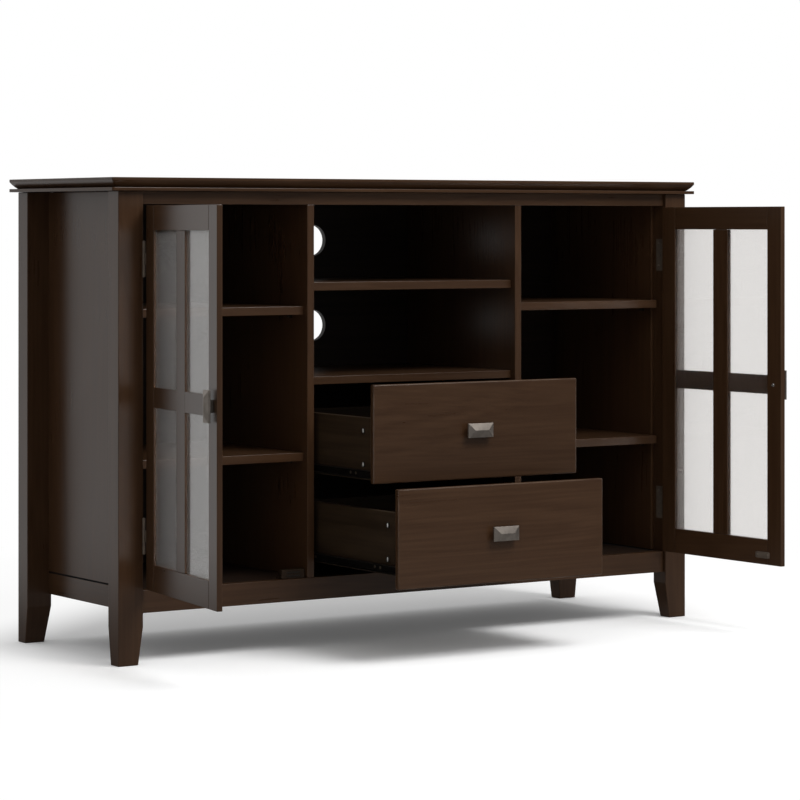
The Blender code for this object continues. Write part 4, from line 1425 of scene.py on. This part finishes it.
@dataclass(frozen=True)
class Studio:
    """White floor with painted light on it that lightens the stand's shadow, a soft lamp and a
    room that is white behind the stand and dim before it.
    """

    floor_half: float = 40.0
    floor_drop: float = 0.0004
    floor_lines: int = 9
    surround_low: float = 0.46
    surround_high: float = 0.64
    surround_top: float = 0.8
    mirrored_front: float = 0.10
    mirrored_back: float = 0.80
    mirrored_ceiling: float = 0.42
    floor_seen: float = 1.12
    floor_mirrored: float = 0.24
    floor_lit: float = 0.60
    # Painted light on the floor: a faint glow lightens the stand's shadow near it, and a stronger
    # glow washes it out towards the left and the rear left.
    floor_lift: float = 0.065
    clear_start: float = 0.85
    clear_end: float = 1.9
    left: Point = (-1.0, 0.0, 0.0)
    left_lit: Stretch = (0.56, 0.88)
    rear_left: Point = (-0.6, 0.8, 0.0)
    rear_left_lit: Stretch = (0.60, 0.90)
    lit_share: float = 0.88
    lamp_spot: Point = (0.70, -2.10, 3.15)
    lamp_aim: Point = (0.0, 0.0, 0.3)
    lamp_size: float = 1.8
    lamp_power: float = 95.0

    def build(self) -> None:
        """Make the floor, the world and the lamp."""
        self.floor()
        self.world()
        self.lamp()

    def floor(self) -> None:
        """A grid P(u, v) = (half * u, half * v, -drop) with a white finish."""
        steps = np.linspace(-1.0, 1.0, self.floor_lines)
        u, v = np.meshgrid(steps, steps)
        points = np.stack([u * self.floor_half, v * self.floor_half,
                           np.full_like(u, -self.floor_drop)], axis=-1).reshape(-1, 3)
        n = self.floor_lines
        a = (np.arange(n - 1)[:, None] * n + np.arange(n - 1)[None, :]).reshape(-1)
        quads = np.stack([a, a + 1, a + 1 + n, a + n], axis=-1)
        mesh = bpy.data.meshes.new("floor")
        mesh.from_pydata(points.tolist(), [], quads.tolist())
        mesh.update()
        made = bpy.data.objects.new("floor", mesh)
        bpy.context.scene.collection.objects.link(made)
        mesh.materials.append(self.floor_finish())

    def room(self, w: Wiring, way: bpy.types.NodeSocket) -> bpy.types.NodeSocket:
        """How bright the room looks along a direction.

        Args:
            w: The wiring that the room's group goes in.
            way: The direction, of any length.

        Returns:
            The brightness.
        """
        return StudioRoom().place(
            w, Vector=way, Front=self.mirrored_front, Back=self.mirrored_back,
            Ceiling=self.mirrored_ceiling).outputs["Level"]

    def lit_from(self, w: Wiring, where: bpy.types.NodeSocket, way: Point,
                 stretch: Stretch) -> bpy.types.NodeSocket:
        """How much of the floor's shadow is washed away by painted light, a glow that grows along
        a direction.

        Args:
            w: The floor's wiring.
            where: The place on the floor.
            way: The direction, of length 1.
            stretch: Where the light starts and where it is full, in metres along it.

        Returns:
            A share of painted glow, from 0 to the studio's painted light share.
        """
        along = w.vector("DOT_PRODUCT", where, way, output="Value")
        return w.ramp(along, *stretch, 0.0, self.lit_share)

    def floor_finish(self) -> bpy.types.Material:
        """White with the stand's shadow near it, lightened by a painted glow and washed out by
        painted light towards the left and the rear left, and as bright as the room further away.

        Returns:
            The floor's material, whose share of glow grows with the distance, and as painted light
            towards the left and the rear left.
        """
        made = bpy.data.materials.new("studio_floor")
        made.use_nodes = True
        made.node_tree.nodes.clear()
        w = Wiring(made.node_tree)
        ray = w.add("ShaderNodeLightPath").outputs
        seen = w.number("MAXIMUM", ray["Is Camera Ray"], ray["Is Transmission Ray"])
        glossy = w.number("SUBTRACT", ray["Is Glossy Ray"], seen, clamp=True)
        where = w.add("ShaderNodeTexCoord").outputs["Object"]
        shaded = w.add("ShaderNodeBsdfDiffuse")
        w.feed(shaded.inputs["Color"], w.blend(
            glossy, w.blend(seen, grey(self.floor_lit), grey(self.floor_seen)),
            grey(self.floor_mirrored)))
        clear = w.add("ShaderNodeEmission")
        w.feed(clear.inputs["Color"], w.ramp(glossy, 0.0, 1.0, 1.0, self.room(w, where)))
        away = w.vector("LENGTH", where, output="Value")
        far = w.ramp(away, self.clear_start, self.clear_end, self.floor_lift, 1.0)
        # Painted light: the floor glows white towards the left and the rear left, washing out the
        # stand's shadow there.
        left = self.lit_from(w, where, self.left, self.left_lit)
        rear_left = self.lit_from(w, where, self.rear_left, self.rear_left_lit)
        near = w.number("MAXIMUM", far, w.number("MAXIMUM", left, rear_left))
        share = w.number("ADD", w.number("MULTIPLY", near, seen),
                         w.number("MULTIPLY", far, glossy))
        chosen = w.add("ShaderNodeMixShader")
        for target, value in zip(chosen.inputs, (share, shaded.outputs[0], clear.outputs[0])):
            w.feed(target, value)
        w.feed(w.add("ShaderNodeOutputMaterial").inputs["Surface"], chosen.outputs[0])
        return made

    def world(self) -> None:
        """White to the camera and through glass, the room in gloss, and an even light."""
        world = bpy.data.worlds.new("surround")
        bpy.context.scene.world = world
        world.use_nodes = True
        world.node_tree.nodes.clear()
        w = Wiring(world.node_tree)
        ray = w.add("ShaderNodeLightPath").outputs
        way = w.add("ShaderNodeTexCoord").outputs["Generated"]
        room = self.room(w, way)
        even = w.ramp(w.parts(way)[Z], 0.0, self.surround_top,
                      self.surround_low, self.surround_high)
        level = w.ramp(ray["Is Glossy Ray"], 0.0, 1.0, even, room)
        seen = w.number("MAXIMUM", ray["Is Camera Ray"], ray["Is Transmission Ray"])
        sky = w.add("ShaderNodeBackground")
        w.feed(sky.inputs["Color"], w.ramp(seen, 0.0, 1.0, level, 1.0))
        w.feed(w.add("ShaderNodeOutputWorld").inputs["Surface"], sky.outputs[0])

    def lamp(self) -> None:
        """A square soft lamp turned towards its aim."""
        data = bpy.data.lights.new("overhead", "AREA")
        data.size = self.lamp_size
        data.energy = self.lamp_power
        made = bpy.data.objects.new("overhead", data)
        bpy.context.scene.collection.objects.link(made)
        made.location = self.lamp_spot
        way = np.asarray(self.lamp_aim, float) - np.asarray(self.lamp_spot, float)
        made.rotation_euler = (math.atan2(math.hypot(way[X], way[Y]), -way[Z]), 0.0,
                               math.atan2(-way[X], way[Y]))


@dataclass(frozen=True)
class Viewpoint:
    """The photograph's camera: level, with a rise that keeps the posts upright."""

    spot: Point = (-3.3025, -4.9367, 0.8077)
    yaw: float = 0.5834
    focal_pixels: float = 3074.85
    horizon: float = 221.87
    picture: float = 800.0
    sensor: float = 36.0
    reach: float = 200.0

    def build(self) -> None:
        """Make the camera, measured from the front posts' fronts."""
        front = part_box("post_front_left")[0].y
        data = bpy.data.cameras.new("viewpoint")
        data.sensor_width = self.sensor
        data.lens = self.sensor * self.focal_pixels / self.picture
        data.shift_y = (self.horizon - self.picture / 2) / self.picture
        data.clip_end = self.reach
        made = bpy.data.objects.new("viewpoint", data)
        bpy.context.scene.collection.objects.link(made)
        made.location = (self.spot[X], self.spot[Y] + front, self.spot[Z])
        made.rotation_euler = (math.pi / 2, 0.0, -self.yaw)
        bpy.context.scene.camera = made


def hinge_place(side: Side) -> Placement:
    """The frame of a door: at its hinge's axis, turned as far as it stands open.

    Args:
        side: Which door.

    Returns:
        The door's own frame.
    """
    joint = next(j for j in frame["joints"] if j["name"] == f"{side.word}_door_hinge")
    opened = math.radians(-joint["range_deg"][0])
    x, y, _ = joint["pos_m"]
    return Placement(origin=(x, y, 0.0), yaw=side.value * opened)


def drawer_place(level: str) -> Placement:
    """The frame of a drawer: at the middle of its front's outer face."""
    low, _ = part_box(f"{level}_drawer_front")
    return Placement(origin=(0.0, low.y, 0.0))


def sub_assemblies(finishes: Finishes) -> Iterator[SubAssembly]:
    """Every sub-assembly of the stand.

    Args:
        finishes: The finishes that they wear.

    Yields:
        Each one, in the order that it is put together.
    """
    for kind in (Carcass, ShelfPins, Hinges, Catches, Runners):
        yield kind(finishes)
    for side in Side:
        yield GlazedDoor(finishes, body=f"{side.word}_door", place=hinge_place(side), side=side)
    for level in ("upper", "lower"):
        yield Drawer(finishes, body=f"{level}_drawer", place=drawer_place(level), level=level)


def main() -> None:
    """Build the stand, the studio and the camera."""
    logging.basicConfig(level=logging.INFO, format="%(message)s")
    Viewpoint().build()
    finishes = Finishes()
    for assembly in sub_assemblies(finishes):
        LOG.info("building %s", type(assembly).__name__)
        assembly.build()
    Studio().build()
    bpy.context.scene.view_settings.view_transform = "Standard"


if __name__ == "__main__":
    main()
